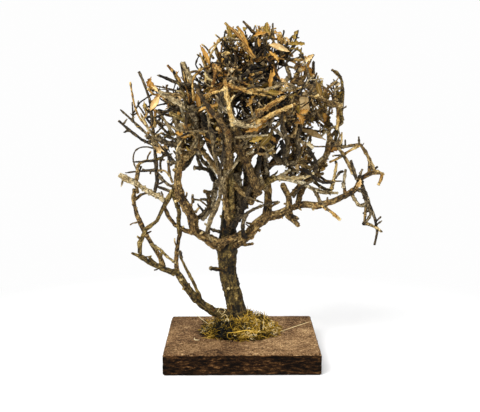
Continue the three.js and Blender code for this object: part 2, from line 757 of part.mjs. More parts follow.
// How much room a limb leaves to all other wood, away from where it is seated. A twig
// keeps clear of its own piece too, so that no two twigs close into a ring.
function roomAround(node, limb, seats, ownToo = false) {
  const [low, high] = [new THREE.Vector3(), new THREE.Vector3()];
  const reach = new THREE.Box3().setFromPoints(limb.points).expandByScalar(limb.radii[0] + GLUE_GAP);
  let room = Infinity;
  const mine = stretchesOf(node, limb);
  for (const other of stretches) {
    if (other.node === node && !ownToo) continue;
    low.copy(other.from).min(other.to).subScalar(other.radius);
    high.copy(other.from).max(other.to).addScalar(other.radius);
    if (!reach.intersectsBox(new THREE.Box3(low, high))) continue;
    const shared = seats.filter((seat) => (seat.on === other.node || seat.crowded) && reaches(other, seat));
    for (const stretch of mine) {
      if (shared.some((seat) => reaches(stretch, seat))) continue;
      room = Math.min(room, segmentDistance(stretch, other) - stretch.radius - other.radius - GLUE_GAP);
    }
  }
  return room;
}

// A limb along a route, knobbly and a little bent, with a collar where it leaves its
// carrier. At its root it is never wider than the carrier, whose radius is carrierRadius.
function makeLimb(route, girth, random, carrierRadius = Infinity) {
  const curve = new THREE.CatmullRomCurve3(route, false, "centripetal");
  const widest = Math.max(...girth);
  const steps = Math.max(2, Math.round(curve.getLength() / LIMB_STEP));
  const points = curve.getSpacedPoints(steps);
  const radii = points.map((point, index) => {
    const share = index / steps;
    const fromRoot = (share * curve.getLength()) / girth[0];
    const collar = 1 + COLLAR_SWELL * Math.exp(-fromRoot * fromRoot);
    const knobbly = 1 + KNOBBLE * (random() - 0.5);
    return (girthAt(girth, share) / 2) * collar * knobbly;
  });
  radii[0] = Math.min(radii[0], carrierRadius * ROOT_FIT);
  points.slice(1, -1).forEach((point) => {
    point.x += (random() - 0.5) * WOBBLE * widest;
    point.y += (random() - 0.5) * WOBBLE * widest;
    point.z += (random() - 0.5) * WOBBLE * widest;
  });
  return { points, radii, sides: sidesFor(widest) };
}

// A drawn limb starts on the centre line of what carries it. Where it would run into
// another piece, its route is moved in depth, first a little and then further.
function growDrawnLimb(node, spec, index, seed) {
  const { on, limbs, meets } = WOOD[node];
  const isFirst = index === 0;
  const carrier = isFirst ? on : node;
  let best = { room: -Infinity };
  for (const shift of DEPTH_SHIFTS) {
    const last = spec.route.length - 1;
    const route = spec.route.map(([right, above, depth], spot) => {
      const share = meets && isFirst ? Math.sin((Math.PI * spot) / last) : Math.min(1, (2 * spot) / last);
      return place([right, above, depth + shift * share]);
    });
    const root = nearestOn(carrier, route[0]);
    route[0].copy(root.point);
    const reach = root.radius + spec.girth[0] / 2 + SEAT_REACH;
    const seats = [{ on: carrier, point: root.point, radius: reach, crowded: isFirst }];
    if (meets && isFirst) {
      const end = nearestOn(meets, route[last]);
      route[last].copy(end.point);
      seats.push({ on: meets, point: end.point, radius: end.radius + SEAT_REACH, crowded: false });
    }
    const limb = makeLimb(route, spec.girth, seeded(seed), root.radius);
    const room = roomAround(node, limb, seats);
    if (room > best.room) best = { room, limb };
    if (room >= 0) break;
  }
  addLimb(node, best.limb);
}

// Whether a drawn outline encloses a point, by counting the edges to its right
function isEnclosed(outline, right, above) {
  const crossed = outline.filter(([nearRight, nearAbove], index) => {
    const [farRight, farAbove] = outline[(index + 1) % outline.length];
    if (nearAbove > above === farAbove > above) return false;
    return right < lerp(nearRight, farRight, (above - nearAbove) / (farAbove - nearAbove));
  });
  return crossed.length % 2 === 1;
}

// Whether a sprouting twig may pass through a point
function insideCrown(point) {
  const middle = place(CROWN_MIDDLE);
  const away = point.clone().sub(middle).divide(new THREE.Vector3(...CROWN_HALF));
  if (away.lengthSq() > 1) return false;
  const [right, above] = seenAt(point);
  if (!isEnclosed(CROWN_OUTLINE, right, above)) return false;
  return !OPEN_GAPS.some(([gapRight, gapAbove, halfWidth, halfHeight]) => (
    Math.hypot((right - gapRight) / halfWidth, (above - gapAbove) / halfHeight) < 1
  ));
}

// A direction square to a heading, turned round it by a random angle
function sideways(heading, random) {
  const aside = new THREE.Vector3(random() - 0.5, random() - 0.5, random() - 0.5);
  return aside.addScaledVector(heading, -aside.dot(heading)).normalize();
}

// One zigzag twig that starts inside a limb and grows outwards and up
function tryTwig(start, limbHeading, length, girth, random) {
  const outwards = start.clone().sub(place(CROWN_MIDDLE)).normalize();
  const heading = sideways(limbHeading, random);
  heading.addScaledVector(outwards, TWIG_OUTWARDS).addScaledVector(UP, TWIG_UPWARDS).normalize();
  const points = [start.clone()];
  const step = length / TWIG_STEPS;
  for (let index = 0; index < TWIG_STEPS; index += 1) {
    points.push(points.at(-1).clone().addScaledVector(heading, step));
    heading.addScaledVector(sideways(heading, random), TWIG_BEND).addScaledVector(UP, TWIG_RISE).normalize();
  }
  const radii = points.map((point, index) => girthAt(girth, index / TWIG_STEPS) / 2);
  if (!points.slice(1).every(insideCrown)) return null;
  return { points, radii, sides: TWIG_SIDES };
}

// Twigs sprout at random places along a node's limbs and earlier twigs, clear of all other wood
function sproutTwigs(node, count, random) {
  const carriers = limbsOf.get(node);
  for (let made = 0; made < count; made += 1) {
    for (let attempt = 0; attempt < TWIG_TRIES; attempt += 1) {
      const carrier = carriers[Math.floor(random() * carriers.length)];
      const spot = lerp(TWIG_ZONE_START, 1, random()) * (carrier.points.length - 1);
      const index = Math.min(Math.floor(spot), carrier.points.length - 2);
      const [from, to] = [carrier.points[index], carrier.points[index + 1]];
      const start = from.clone().lerp(to, spot - index);
      const heading = to.clone().sub(from).normalize();
      const length = TWIG_LENGTH * lerp(...TWIG_LENGTH_RANGE, random());
      const diameter = TWIG_DIAMETER * lerp(...TWIG_GIRTH_RANGE, random());
      const girth = [Math.min(diameter, carrier.radii[index] * 2), TWIG_TIP_DIAMETER];
      const twig = tryTwig(start, heading, length, girth, random);
      const reach = carrier.radii[index] + girth[0] / 2 + GLUE_GAP;
      const seat = { on: node, point: start, radius: reach, crowded: false };
      if (!twig || roomAround(node, twig, [seat], true) < 0) continue;
      addLimb(node, twig);
      if (random() > FORK_CHANCE) break;
      const fork = twig.points[1 + Math.floor(random() * (TWIG_STEPS - 1))];
      const forkHeading = twig.points.at(-1).clone().sub(fork).normalize();
      const forkGirth = [girth[0] * FORK_SHARE, TWIG_TIP_DIAMETER];
      const side = tryTwig(fork, forkHeading, length * FORK_SHARE, forkGirth, random);
      const forkSeat = { on: node, point: fork, radius: girth[0] + GLUE_GAP, crowded: false };
      if (side && roomAround(node, side, [forkSeat], true) >= 0) addLimb(node, side);
      break;
    }
  }
}

// The trunk: a bole that flares into root lobes, and the leader that goes on above it
const boleRoute = BOLE.map(([right, above]) => place([right, above, TRUNK_Y]));
boleRoute[0].set(TRUNK_X, TRUNK_Y, REST_ON_BOARD - FOOT_TRIM);
const boleCurve = new THREE.CatmullRomCurve3(boleRoute, false, "centripetal");
const bole = {
  points: boleCurve.getSpacedPoints(BOLE_STEPS),
  sides: TRUNK_SIDES,
  lobes: ROOT_LOBES,
  lobeDepth: (index) => ROOT_LOBE_DEPTH * Math.exp(-index / ROOT_LOBE_FADE),
};
bole.radii = bole.points.map((point, index) => {
  const share = index / BOLE_STEPS;
  const flare = (TRUNK_FOOT_DIAMETER - TRUNK_WAIST_DIAMETER) * Math.exp(-share / FLARE_FADE);
  const fromCrown = (share - CROWN_SHARE) / CROWN_SPREAD;
  const crown = (TRUNK_CROWN_DIAMETER - TRUNK_WAIST_DIAMETER) * Math.exp(-fromCrown * fromCrown);
  const taper = THREE.MathUtils.smoothstep(share, CROWN_SHARE, 1);
  return lerp(TRUNK_WAIST_DIAMETER + flare + crown, LEADER_DIAMETER, taper) / 2;
});
addLimb("trunk", bole);

LEADERS.forEach(({ route, girth }, index) => {
  addLimb("trunk", makeLimb(route.map(place), girth, seeded(WOOD_SEED + index)));
});
let woodSeed = WOOD_SEED + LEADERS.length;
for (const node of Object.keys(WOOD)) {
  WOOD[node].limbs.forEach((spec, index) => growDrawnLimb(node, spec, index, woodSeed + index));
  woodSeed += WOOD[node].limbs.length;
}
const twigRandom = seeded(TWIG_SEED);
sproutTwigs("trunk", TRUNK_TWIGS, twigRandom);
for (const node of Object.keys(WOOD)) sproutTwigs(node, WOOD[node].twigs ?? 0, twigRandom);

// What is left of a solid when the grown skins round it are cut away
function clearOf(solid, skins) {
  return skins.length > 0 ? largestBody(solid.subtract(Manifold.union(skins))) : largestBody(solid);
}

// The grown skins of every limb that comes too near to one of the given stretches
function crowding(mine, others) {
  const near = new Set();
  for (const other of stretches) {
    if (!others.has(other.node) || near.has(other.limb)) continue;
    const touches = mine.some(
      (stretch) => segmentDistance(stretch, other) < stretch.radius + other.radius + 2 * GLUE_GAP,
    );
    if (touches) near.add(other.limb);
  }
  return [...near].map((limb) => limbSolid(limb, GLUE_GAP));
}

const object = new THREE.Group();
function addPiece(name, solid, colour, roughness = 0.85, metalness = 0) {
  const material = new THREE.MeshStandardMaterial({ color: colour, roughness, metalness });
  const mesh = new THREE.Mesh(solidToGeometry(solid), material);
  mesh.name = name;
  object.add(mesh);
}

// Board, drilled and countersunk from below for the trunk's screw
function screwProfile(grow) {
  const head = SCREW_HEAD_DIAMETER / 2 + grow;
  const shank = SCREW_SHANK_DIAMETER / 2 + grow;
  const seat = SCREW_HEAD_RECESS + SCREW_HEAD_HEIGHT + grow;
  const point = SCREW_HEAD_RECESS + SCREW_LENGTH - SCREW_POINT_LENGTH + grow;
  const end = SCREW_HEAD_RECESS + SCREW_LENGTH + grow;
  return { head, shank, seat, point, end };
}

function screwSolid() {
  const { head, shank, seat, point, end } = screwProfile(0);
  const rim = SCREW_HEAD_RECESS + SCREW_HEAD_RIM;
  const profile = [
    [0, SCREW_HEAD_RECESS],
    [head, SCREW_HEAD_RECESS],
    [head, rim],
    [shank, seat],
    [shank, point],
    [0, end],
  ];
  return turned(profile);
}

function screwHole() {
  const { head, shank, seat, point, end } = screwProfile(GLUE_GAP);
  const rim = SCREW_HEAD_RECESS + SCREW_HEAD_RIM + GLUE_GAP;
  const below = -GLUE_GAP;
  const profile = [
    [0, below],
    [head, below],
    [head, rim],
    [shank, seat],
    [shank, point],
    [0, end],
  ];
  return turned(profile);
}

function boardSolid() {
  const flat = BOARD_SIDE / 2 - BOARD_EDGE_BEVEL;
  const outline = new THREE.Shape();
  outline.moveTo(-flat, -flat);
  outline.lineTo(flat, -flat);
  outline.lineTo(flat, flat);
  outline.lineTo(-flat, flat);
  outline.closePath();
  const geometry = new THREE.ExtrudeGeometry(outline, {
    depth: BOARD_THICKNESS - 2 * BOARD_EDGE_BEVEL,
    bevelSize: BOARD_EDGE_BEVEL,
    bevelThickness: BOARD_EDGE_BEVEL,
    bevelSegments: 1,
  });
  geometry.translate(0, 0, BOARD_EDGE_BEVEL);
  return geometryToSolid(geometry);
}

// What is sawn off level under the trunk, up to the glue on the board
function belowBoardTop() {
  const geometry = new THREE.BoxGeometry(BOARD_SIDE, BOARD_SIDE, REST_ON_BOARD);
  geometry.translate(0, 0, REST_ON_BOARD / 2);
  return geometryToSolid(geometry);
}

addPiece("base_board", boardSolid().subtract(screwHole()), BOARD_STAIN, 0.9);
addPiece("trunk_screw", screwSolid(), SCREW_ZINC, 0.35, 0.9);

// The wood: a later piece is hollowed where an earlier one passes through its seat
const trunkSkins = limbsOf.get("trunk").map((limb) => limbSolid(limb));
const sawnTrunk = Manifold.union(trunkSkins).subtract(belowBoardTop());
addPiece("trunk", largestBody(sawnTrunk.subtract(screwHole())), BARK_OLIVE);
const earlier = new Set(["trunk"]);
for (const node of Object.keys(WOOD)) {
  const limbs = limbsOf.get(node);
  const mine = limbs.flatMap((limb) => stretchesOf(node, limb));
  const whole = Manifold.union(limbs.map((limb) => limbSolid(limb)));
  addPiece(node, clearOf(whole, crowding(mine, earlier)), WOOD[node].bark);
  earlier.add(node);
}

// Glue fillet round the foot: hollow-faced, from the board up the trunk
function glueSolid() {
  const inner = TRUNK_FOOT_DIAMETER / 4;
  const wall = TRUNK_FOOT_DIAMETER / 2;
  const profile = [[inner, REST_ON_BOARD], [wall + GLUE_WIDTH, REST_ON_BOARD]];
  for (let step = 1; step <= GLUE_STEPS; step += 1) {
    const turn = (step / GLUE_STEPS) * (Math.PI / 2);
    const radius = wall + GLUE_WIDTH * (1 - Math.sin(turn));
    const height = GLUE_HEIGHT * (1 - Math.cos(turn));
    profile.push([radius, REST_ON_BOARD + height]);
  }
  profile.push([inner, REST_ON_BOARD + GLUE_HEIGHT], [inner, REST_ON_BOARD]);
  return turned(profile);
}

const grownBole = limbSolid(bole, GLUE_GAP);
addPiece("glue_fillet", largestBody(glueSolid().subtract(grownBole)), GLUE_AMBER, 0.4);

function middleOf(points) {
  return points.reduce((sum, point) => sum.add(point), new THREE.Vector3()).divideScalar(points.length);
}

// A moss clump: a low mound swept through a sector round the trunk, with a lumpy top
function mossClump(fromAngle, toAngle, random) {
  const inner = TRUNK_FOOT_DIAMETER / 2 + GLUE_WIDTH + GLUE_GAP;
  const trunkSide = TRUNK_WAIST_DIAMETER / 2;
  const lump = () => 1 + MOSS_ROUGHNESS * (random() - 0.5);
  const rings = [];
  for (let step = 0; step <= MOSS_STEPS; step += 1) {
    const angle = lerp(fromAngle, toAngle, step / MOSS_STEPS);
    const side = Math.abs(Math.cos(angle));
    const lengthwise = Math.sin(angle) > 0 ? MOSS_REACH_BACK : MOSS_REACH_FRONT;
    const outer = lerp(lengthwise, MOSS_REACH_SIDE, side * side) * lump();
    const slope = MOSS_SLOPE.map(([out, up]) => [lerp(inner, outer, out), MOSS_HEIGHT * up * lump()]);
    const profile = [
      [inner, 0],
      [inner, GLUE_HEIGHT + GLUE_GAP],
      [trunkSide, GLUE_HEIGHT + 2 * GLUE_GAP],
      [trunkSide, MOSS_HEIGHT * lump()],
      ...slope,
      [outer, MOSS_EDGE],
      [outer, 0],
    ];
    const corner = ([radius, height]) => new THREE.Vector3(
      TRUNK_X + radius * Math.cos(angle),
      TRUNK_Y + radius * Math.sin(angle),
      REST_ON_BOARD + height,
    );
    rings.push(profile.map(corner));
  }
  return skin(rings, middleOf(rings[0]), middleOf(rings.at(-1)));
}

const mossRandom = seeded(MOSS_SEED);
const mossMiddle = new THREE.Vector3(TRUNK_X, TRUNK_Y, REST_ON_BOARD + MOSS_HEIGHT / 2);
const mossSide = mossMiddle.clone().setX(TRUNK_X - MOSS_REACH_SIDE);
const overMoss = crowding([{ from: mossSide, to: mossMiddle, radius: MOSS_HEIGHT }], earlier);
const throughMoss = Manifold.union([grownBole, ...overMoss]);
MOSS_CLUMPS.forEach(({ name, from, to }) => {
  const halfSlit = (2 * GLUE_GAP) / TRUNK_FOOT_DIAMETER;
  const fromAngle = THREE.MathUtils.degToRad(from) + halfSlit;
  const toAngle = THREE.MathUtils.degToRad(to) - halfSlit;
  const clump = mossClump(fromAngle, toAngle, mossRandom);
  addPiece(name, largestBody(clump.subtract(throughMoss)), MOSS_OLIVE, 1);
});

// A leaf: a cupped blade on a short stalk, widest before its middle
function leafSolid(base, tip, width) {
  const along = tip.clone().sub(base);
  const facing = new THREE.Vector3(...LEAF_FACING);
  const across = new THREE.Vector3().crossVectors(along, facing).normalize();
  const out = new THREE.Vector3().crossVectors(across, along).normalize();
  const rings = [];
  for (let step = 0; step <= LEAF_STEPS; step += 1) {
    const share = step / LEAF_STEPS;
    const blade = Math.sin(Math.PI * share ** LEAF_WIDEST) ** LEAF_ROUNDNESS;
    const half = Math.max((width / 2) * blade, LEAF_THICKNESS / 2);
    const arch = LEAF_ARCH * width * Math.sin(Math.PI * share);
    const middle = base.clone().addScaledVector(along, share).addScaledVector(out, arch);
    const raise = half * LEAF_CUP;
    const corner = (aside, lift) => middle.clone().addScaledVector(across, aside).addScaledVector(out, lift);
    rings.push([
      corner(half, raise + LEAF_THICKNESS / 2),
      corner(half, raise - LEAF_THICKNESS / 2),
      corner(0, -LEAF_THICKNESS / 2),
      corner(-half, raise - LEAF_THICKNESS / 2),
      corner(-half, raise + LEAF_THICKNESS / 2),
      corner(0, LEAF_THICKNESS / 2),
    ]);
  }
  return skin(rings, middleOf(rings[0]), middleOf(rings.at(-1)));
}

// The stretch of wood nearest to a point, with its foot on the centre line
function nearestWood(wanted) {
  const line = new THREE.Line3();
  let best = { distance: Infinity };
  for (const stretch of stretches) {
    line.set(stretch.from, stretch.to);
    const foot = line.closestPointToPoint(wanted, true, new THREE.Vector3());
    const distance = foot.distanceTo(wanted) - stretch.radius;
    if (distance < best.distance) best = { distance, foot, stretch };
  }
  return best;
}

// A leaf hangs on a twig near its drawn place, as far to the front as its blade has room
function placeLeaf({ base, tip, width }) {
  let best = { score: -Infinity };
  for (let depth = -CROWN_HALF[1]; depth < CROWN_HALF[1] / 2; depth += LEAF_DEPTH_STEP) {
    const wanted = place([...base, depth]);
    const { distance, foot, stretch } = nearestWood(wanted);
    const away = wanted.clone().sub(foot).normalize();
    const lift = stretch.radius * LEAF_SEAT + GLUE_GAP + LEAF_THICKNESS / 2;
    const seat = foot.clone().addScaledVector(away, lift);
    const end = place([...tip, depth]).sub(wanted).add(seat);
    const blade = { from: seat.clone().lerp(end, LEAF_STALK_SHARE), to: end };
    const clearance = LEAF_THICKNESS + GLUE_GAP;
    const rooms = stretches.map((other) => segmentDistance(blade, other) - other.radius - clearance);
    const room = Math.min(width / 2, ...rooms);
    const score = room - LEAF_DRIFT * Math.abs(distance) - LEAF_BACKWARDS * depth;
    if (score > best.score) best = { score, seat, end };
  }
  return best;
}

for (const [name, leaf] of Object.entries(LEAVES)) {
  const { seat, end } = placeLeaf(leaf);
  const blade = leafSolid(seat, end, leaf.width);
  const cut = crowding([{ from: seat, to: end, radius: leaf.width / 2 }], earlier);
  addPiece(name, clearOf(blade, cut), leaf.tint, 0.7);
}

export default object;
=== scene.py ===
import bmesh
import bpy
import heapq
import math
import random
import numpy as np
from mathutils import Matrix, Vector
from mathutils.bvhtree import BVHTree
from mathutils.kdtree import KDTree

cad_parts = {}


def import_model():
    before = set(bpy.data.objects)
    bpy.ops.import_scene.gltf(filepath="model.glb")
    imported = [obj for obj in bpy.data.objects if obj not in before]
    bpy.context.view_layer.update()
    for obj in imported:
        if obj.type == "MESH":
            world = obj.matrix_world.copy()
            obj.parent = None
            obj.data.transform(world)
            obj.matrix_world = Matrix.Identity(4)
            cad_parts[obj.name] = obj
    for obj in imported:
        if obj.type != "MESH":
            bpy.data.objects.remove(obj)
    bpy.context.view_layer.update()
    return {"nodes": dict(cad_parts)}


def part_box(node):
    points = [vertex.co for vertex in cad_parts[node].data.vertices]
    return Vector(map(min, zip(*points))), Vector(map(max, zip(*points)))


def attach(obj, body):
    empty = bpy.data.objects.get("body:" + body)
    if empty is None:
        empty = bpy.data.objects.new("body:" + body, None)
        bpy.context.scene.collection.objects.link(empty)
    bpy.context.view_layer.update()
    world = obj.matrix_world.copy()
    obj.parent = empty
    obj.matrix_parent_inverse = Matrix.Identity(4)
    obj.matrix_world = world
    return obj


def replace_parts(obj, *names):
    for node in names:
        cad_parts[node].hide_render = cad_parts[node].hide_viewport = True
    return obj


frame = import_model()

# Metres, +Z up, the same frame as the solids. A small tree of dry twigs on a stained board.
MM = 0.001
UP = Vector((0, 0, 1))
BOARD_TOP = Vector(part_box("base_board")[1]).z
SCREW_LOW, SCREW_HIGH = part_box("trunk_screw")
TRUNK_FOOT = Vector(((SCREW_LOW[0] + SCREW_HIGH[0]) / 2, (SCREW_LOW[1] + SCREW_HIGH[1]) / 2, BOARD_TOP))
# The lowest heights, just above the board's top, of bark, glue and moss cushions, of moss strands as they
# end up, and of loose strands as they start
ABOVE_BOARD = BOARD_TOP + 0.0001
STRANDS_ABOVE_BOARD = BOARD_TOP + 0.0003
LOOSE_ABOVE_BOARD = BOARD_TOP + 0.0005

# The photograph's camera, solved from the board's corners
PHOTO_SIZE = (480, 412)
FOCAL_PIXELS = 1016.3
SENSOR_WIDTH = 36.0
CAMERA_PLACE = Vector((-2.9, -602.1, 172.8)) * MM
CAMERA_PITCH = math.radians(7.75)
CAMERA_YAW = math.radians(0.198)
CAMERA_ROLL = math.radians(0.163)

# The slots of wood and of leaves
OLIVE, BROWN, DARK, GREY, STRAW = "bark_olive", "bark_brown", "bark_dark", "bark_grey", "straw_twig"
TAN, GREEN, ORANGE = "leaf_tan", "leaf_olive", "leaf_orange"

# The nodes of wood, by the slot of their finish
WOOD = {
    OLIVE: ["trunk", "second_stem", "left_outer_branch", "left_outer_riser", "leader_left"],
    BROWN: ["left_cross_branch", "left_limb", "left_bridge", "left_riser", "left_connector", "right_limb",
            "right_arm", "right_tip", "right_riser", "right_stem", "back_limb_left", "back_limb_right",
            "front_limb_right"],
    DARK: ["left_upright", "left_fork_stem", "curved_stem", "hanging_branch", "back_limb_middle",
           "right_back_stem", "front_limb_left", "crown_top"],
    GREY: ["left_spear", "front_stem", "crossing_stem", "grey_sidebranch"],
    STRAW: ["crown_left", "straw_antler"],
}
LEAVES = {
    TAN: ["leaf_big_right", "leaf_low_right", "leaf_straw_middle", "leaf_top_right", "leaf_left_fold"],
    GREEN: ["leaf_olive_middle", "leaf_narrow_middle", "leaf_outer_right"],
    ORANGE: ["leaf_rim_right", "leaf_orange_upper", "leaf_left_tip", "leaf_upper_left"],
    STRAW: ["leaf_top_left"],
}
MOSS = ["moss_right", "moss_back", "moss_left", "moss_front"]

# How fine the even copies of the solids are, in metres
VOXEL = 0.0003
VOXELS = {"trunk": 0.00032, "base_board": 0.0005, "trunk_screw": 0.00012, "glue_fillet": 0.00025}
VOXELS.update((node, 0.00045) for node in MOSS)


# Small helpers

def srgb(code):
    """A colour written as a hex number, in linear light."""
    parts = [((code >> shift) & 255) / 255 for shift in (16, 8, 0)]
    linear = [part / 12.92 if part <= 0.04045 else ((part + 0.055) / 1.055) ** 2.4 for part in parts]
    return (*linear, 1.0)


def new_object(name, vertices, faces, material):
    mesh = bpy.data.meshes.new(name)
    mesh.from_pydata([tuple(v) for v in vertices], [], [tuple(f) for f in faces])
    mesh.polygons.foreach_set("use_smooth", [True] * len(mesh.polygons))
    mesh.materials.append(material)
    thing = bpy.data.objects.new(name, mesh)
    bpy.context.scene.collection.objects.link(thing)
    return thing


def finish_piece(thing):
    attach(thing, "root")


def float_attribute(mesh, name, values):
    layer = mesh.attributes.new(name, "FLOAT", "POINT")
    layer.data.foreach_set("value", np.asarray(values, np.float32))


def vector_attribute(mesh, name, values):
    layer = mesh.attributes.new(name, "FLOAT_VECTOR", "POINT")
    layer.data.foreach_set("vector", np.asarray(values, np.float32).ravel())


def vertex_array(mesh):
    flat = np.empty(len(mesh.vertices) * 3)
    mesh.vertices.foreach_get("co", flat)
    return flat.reshape(-1, 3)


def normal_array(mesh):
    flat = np.empty(len(mesh.vertices) * 3)
    mesh.vertex_normals.foreach_get("vector", flat)
    return flat.reshape(-1, 3)


def gauss_vector(rng, spread=1.0):
    """A random vector, as likely in one direction as in another."""
    return Vector([rng.gauss(0, spread) for _ in range(3)])


def tree_of(points):
    """A search tree that finds which points are near a place."""
    tree = KDTree(len(points))
    for index, point in enumerate(points):
        tree.insert(point, index)
    tree.balance()
    return tree


def frames_along(points, across):
    """At each point of a line, its heading and two directions across it that turn as little as can be."""
    for index in range(len(points)):
        before, after = points[max(index - 1, 0)], points[min(index + 1, len(points) - 1)]
        heading = (after - before).normalized()
        across = (across - heading * across.dot(heading)).normalized()
        yield heading, across, heading.cross(across)


def all_round(across, aside, sides):
    """The directions from the middle of a tube to its sides."""
    turns = [2 * math.pi * side / sides for side in range(sides)]
    return [across * math.cos(turn) + aside * math.sin(turn) for turn in turns]


def wall_faces(first, rings, sides):
    """The faces of a tube between its rings."""
    faces = []
    for ring in range(rings - 1):
        near, far = first + ring * sides, first + (ring + 1) * sides
        for side in range(sides):
            after = (side + 1) % sides
            faces.append((near + side, near + after, far + after, far + side))
    return faces


def lattice_noise(points, seed):
    """Smooth noise between -1 and 1 at each row of points, of 2 to 4 columns."""
    cell = np.floor(points).astype(np.int64)
    part = points - cell
    blend = part * part * (3 - 2 * part)
    total = np.zeros(len(points))
    columns = points.shape[1]
    for corner in range(2 ** columns):
        weight = np.ones(len(points))
        code = np.full(len(points), seed * 7919, np.int64)
        for column in range(columns):
            bit = (corner >> column) & 1
            weight *= blend[:, column] if bit else 1 - blend[:, column]
            code = (code * 1103515245 + (cell[:, column] + bit) * 12820163 + 12345) & 0x7FFFFFFF
            code ^= code >> 13
        code = (code * 1274126177) & 0x7FFFFFFF
        total += weight * ((code >> 8) & 0xFFFF) / 32767.5
    return total - 1


# Materials

class Nodes:
    """Writes a material's nodes in few words."""

    def __init__(self, name):
        self.material = bpy.data.materials.new(name)
        self.material.use_nodes = True
        self.tree = self.material.node_tree
        self.shader = self.tree.nodes["Principled BSDF"]

    def add(self, kind, settings=None, **inputs):
        node = self.tree.nodes.new(kind)
        for key, value in (settings or {}).items():
            setattr(node, key, value)
        for key, value in inputs.items():
            self.join(value, node.inputs[key.replace("_", " ")])
        return node

    def join(self, value, socket):
        if isinstance(value, bpy.types.NodeSocket):
            self.tree.links.new(value, socket)
        else:
            socket.default_value = value

    def attribute(self, name, output="Fac"):
        return self.add("ShaderNodeAttribute", {"attribute_name": name}).outputs[output]

    def math(self, operation, first, second=0.0):
        node = self.add("ShaderNodeMath", {"operation": operation})
        self.join(first, node.inputs[0])
        self.join(second, node.inputs[1])
        return node.outputs[0]

    def noise(self, vector, scale, detail=4.0, roughness=0.6, w=None):
        node = self.add("ShaderNodeTexNoise", {"noise_dimensions": "4D" if w is not None else "3D"},
                        Vector=vector, Scale=scale, Detail=detail, Roughness=roughness)
        if w is not None:
            self.join(w, node.inputs["W"])
        return node.outputs["Fac"]

    def ramp(self, factor, stops):
        node = self.add("ShaderNodeValToRGB")
        self.join(factor, node.inputs[0])
        elements = node.color_ramp.elements
        while len(elements) < len(stops):
            elements.new(0.5)
        for element, (place, colour) in zip(elements, stops):
            element.position = place
            element.color = srgb(colour)
        return node.outputs["Color"]

    def mix(self, factor, first, second, blend="MIX"):
        node = self.add("ShaderNodeMix", {"data_type": "RGBA", "blend_type": blend})
        self.join(factor, node.inputs["Factor"])
        self.join(first, node.inputs["A"])
        self.join(second, node.inputs["B"])
        return node.outputs["Result"]

    def bump(self, height, distance, strength=1.0, normal=None):
        node = self.add("ShaderNodeBump", None, Height=height, Distance=distance, Strength=strength)
        if normal is not None:
            self.join(normal, node.inputs["Normal"])
        return node.outputs["Normal"]

    def place(self):
        return self.add("ShaderNodeTexCoord").outputs["Object"]

    def stretched(self, vector, scale):
        return self.add("ShaderNodeMapping", None, Vector=vector, Scale=scale).outputs[0]

    def swing(self, noise, share):
        """How far a noise is from its middle, times a share."""
        return self.math("MULTIPLY", self.math("SUBTRACT", noise, 0.5), share)

    def weighed(self, first, first_share, second, second_share):
        """The sum of two values, each times its share."""
        first = self.math("MULTIPLY", first, first_share)
        return self.math("ADD", first, self.math("MULTIPLY", second, second_share))

    def finish(self, colour, roughness, normal=None, shine=0.25):
        self.join(colour, self.shader.inputs["Base Color"])
        self.join(roughness, self.shader.inputs["Roughness"])
        if normal is not None:
            self.join(normal, self.shader.inputs["Normal"])
        self.shader.inputs["Specular IOR Level"].default_value = shine
        return self.material


def bark_material(name, stops, fleck, fleck_share):
    """Bark: its tone follows ridges that run along a limb, with dark cracks, grit and flecks of colour.
    "grain" turns round a limb, "run" goes up it, and "tone" is the wood's own shade, with painted shade in
    its low spots and deep in the crown."""
    n = Nodes(name)
    grain = n.attribute("grain", "Vector")
    run = n.attribute("run")
    tone = n.attribute("tone")
    where = n.place()
    ridges = n.noise(grain, 2.6, 5.0, 0.65, run)
    cracks = n.noise(grain, 3.4, 3.0, 0.55, n.math("MULTIPLY", run, 1.6))
    patches = n.noise(where, 150.0, 3.0, 0.5)
    grit = n.noise(where, 1150.0, 4.0, 0.75)
    spread = n.swing(ridges, 1.35)
    spread = n.math("ADD", spread, n.swing(patches, 0.7))
    spread = n.math("ADD", spread, n.swing(grit, 1.1))
    colour = n.ramp(n.math("ADD", tone, spread), stops)
    flecks = n.noise(where, 330.0, 4.0, 0.6)
    spot = n.ramp(flecks, [(fleck_share, 0x000000), (fleck_share + 0.06, 0xFFFFFF)])
    colour = n.mix(n.math("MULTIPLY", spot, 0.4), colour, srgb(fleck))
    dark = n.ramp(cracks, [(0.36, 0x4A4238), (0.47, 0xFFFFFF)])
    colour = n.mix(0.85, colour, dark, "MULTIPLY")
    # Painted shade: dark blotches where the bump sinks, in the bark's low spots
    blotches = n.noise(where, 560.0, 4.0, 0.65)
    painted_hollow_shade = n.ramp(blotches, [(0.4, 0x2B241A), (0.5, 0xFFFFFF)])
    colour = n.mix(0.75, colour, painted_hollow_shade, "MULTIPLY")
    height = n.weighed(ridges, 0.6, cracks, 0.3)
    height = n.math("ADD", height, n.math("MULTIPLY", blotches, 0.6))
    normal = n.bump(height, 0.0006, 0.9, n.bump(grit, 0.0004, 0.7))
    return n.finish(colour, n.math("ADD", n.math("MULTIPLY", grit, 0.2), 0.72), normal)


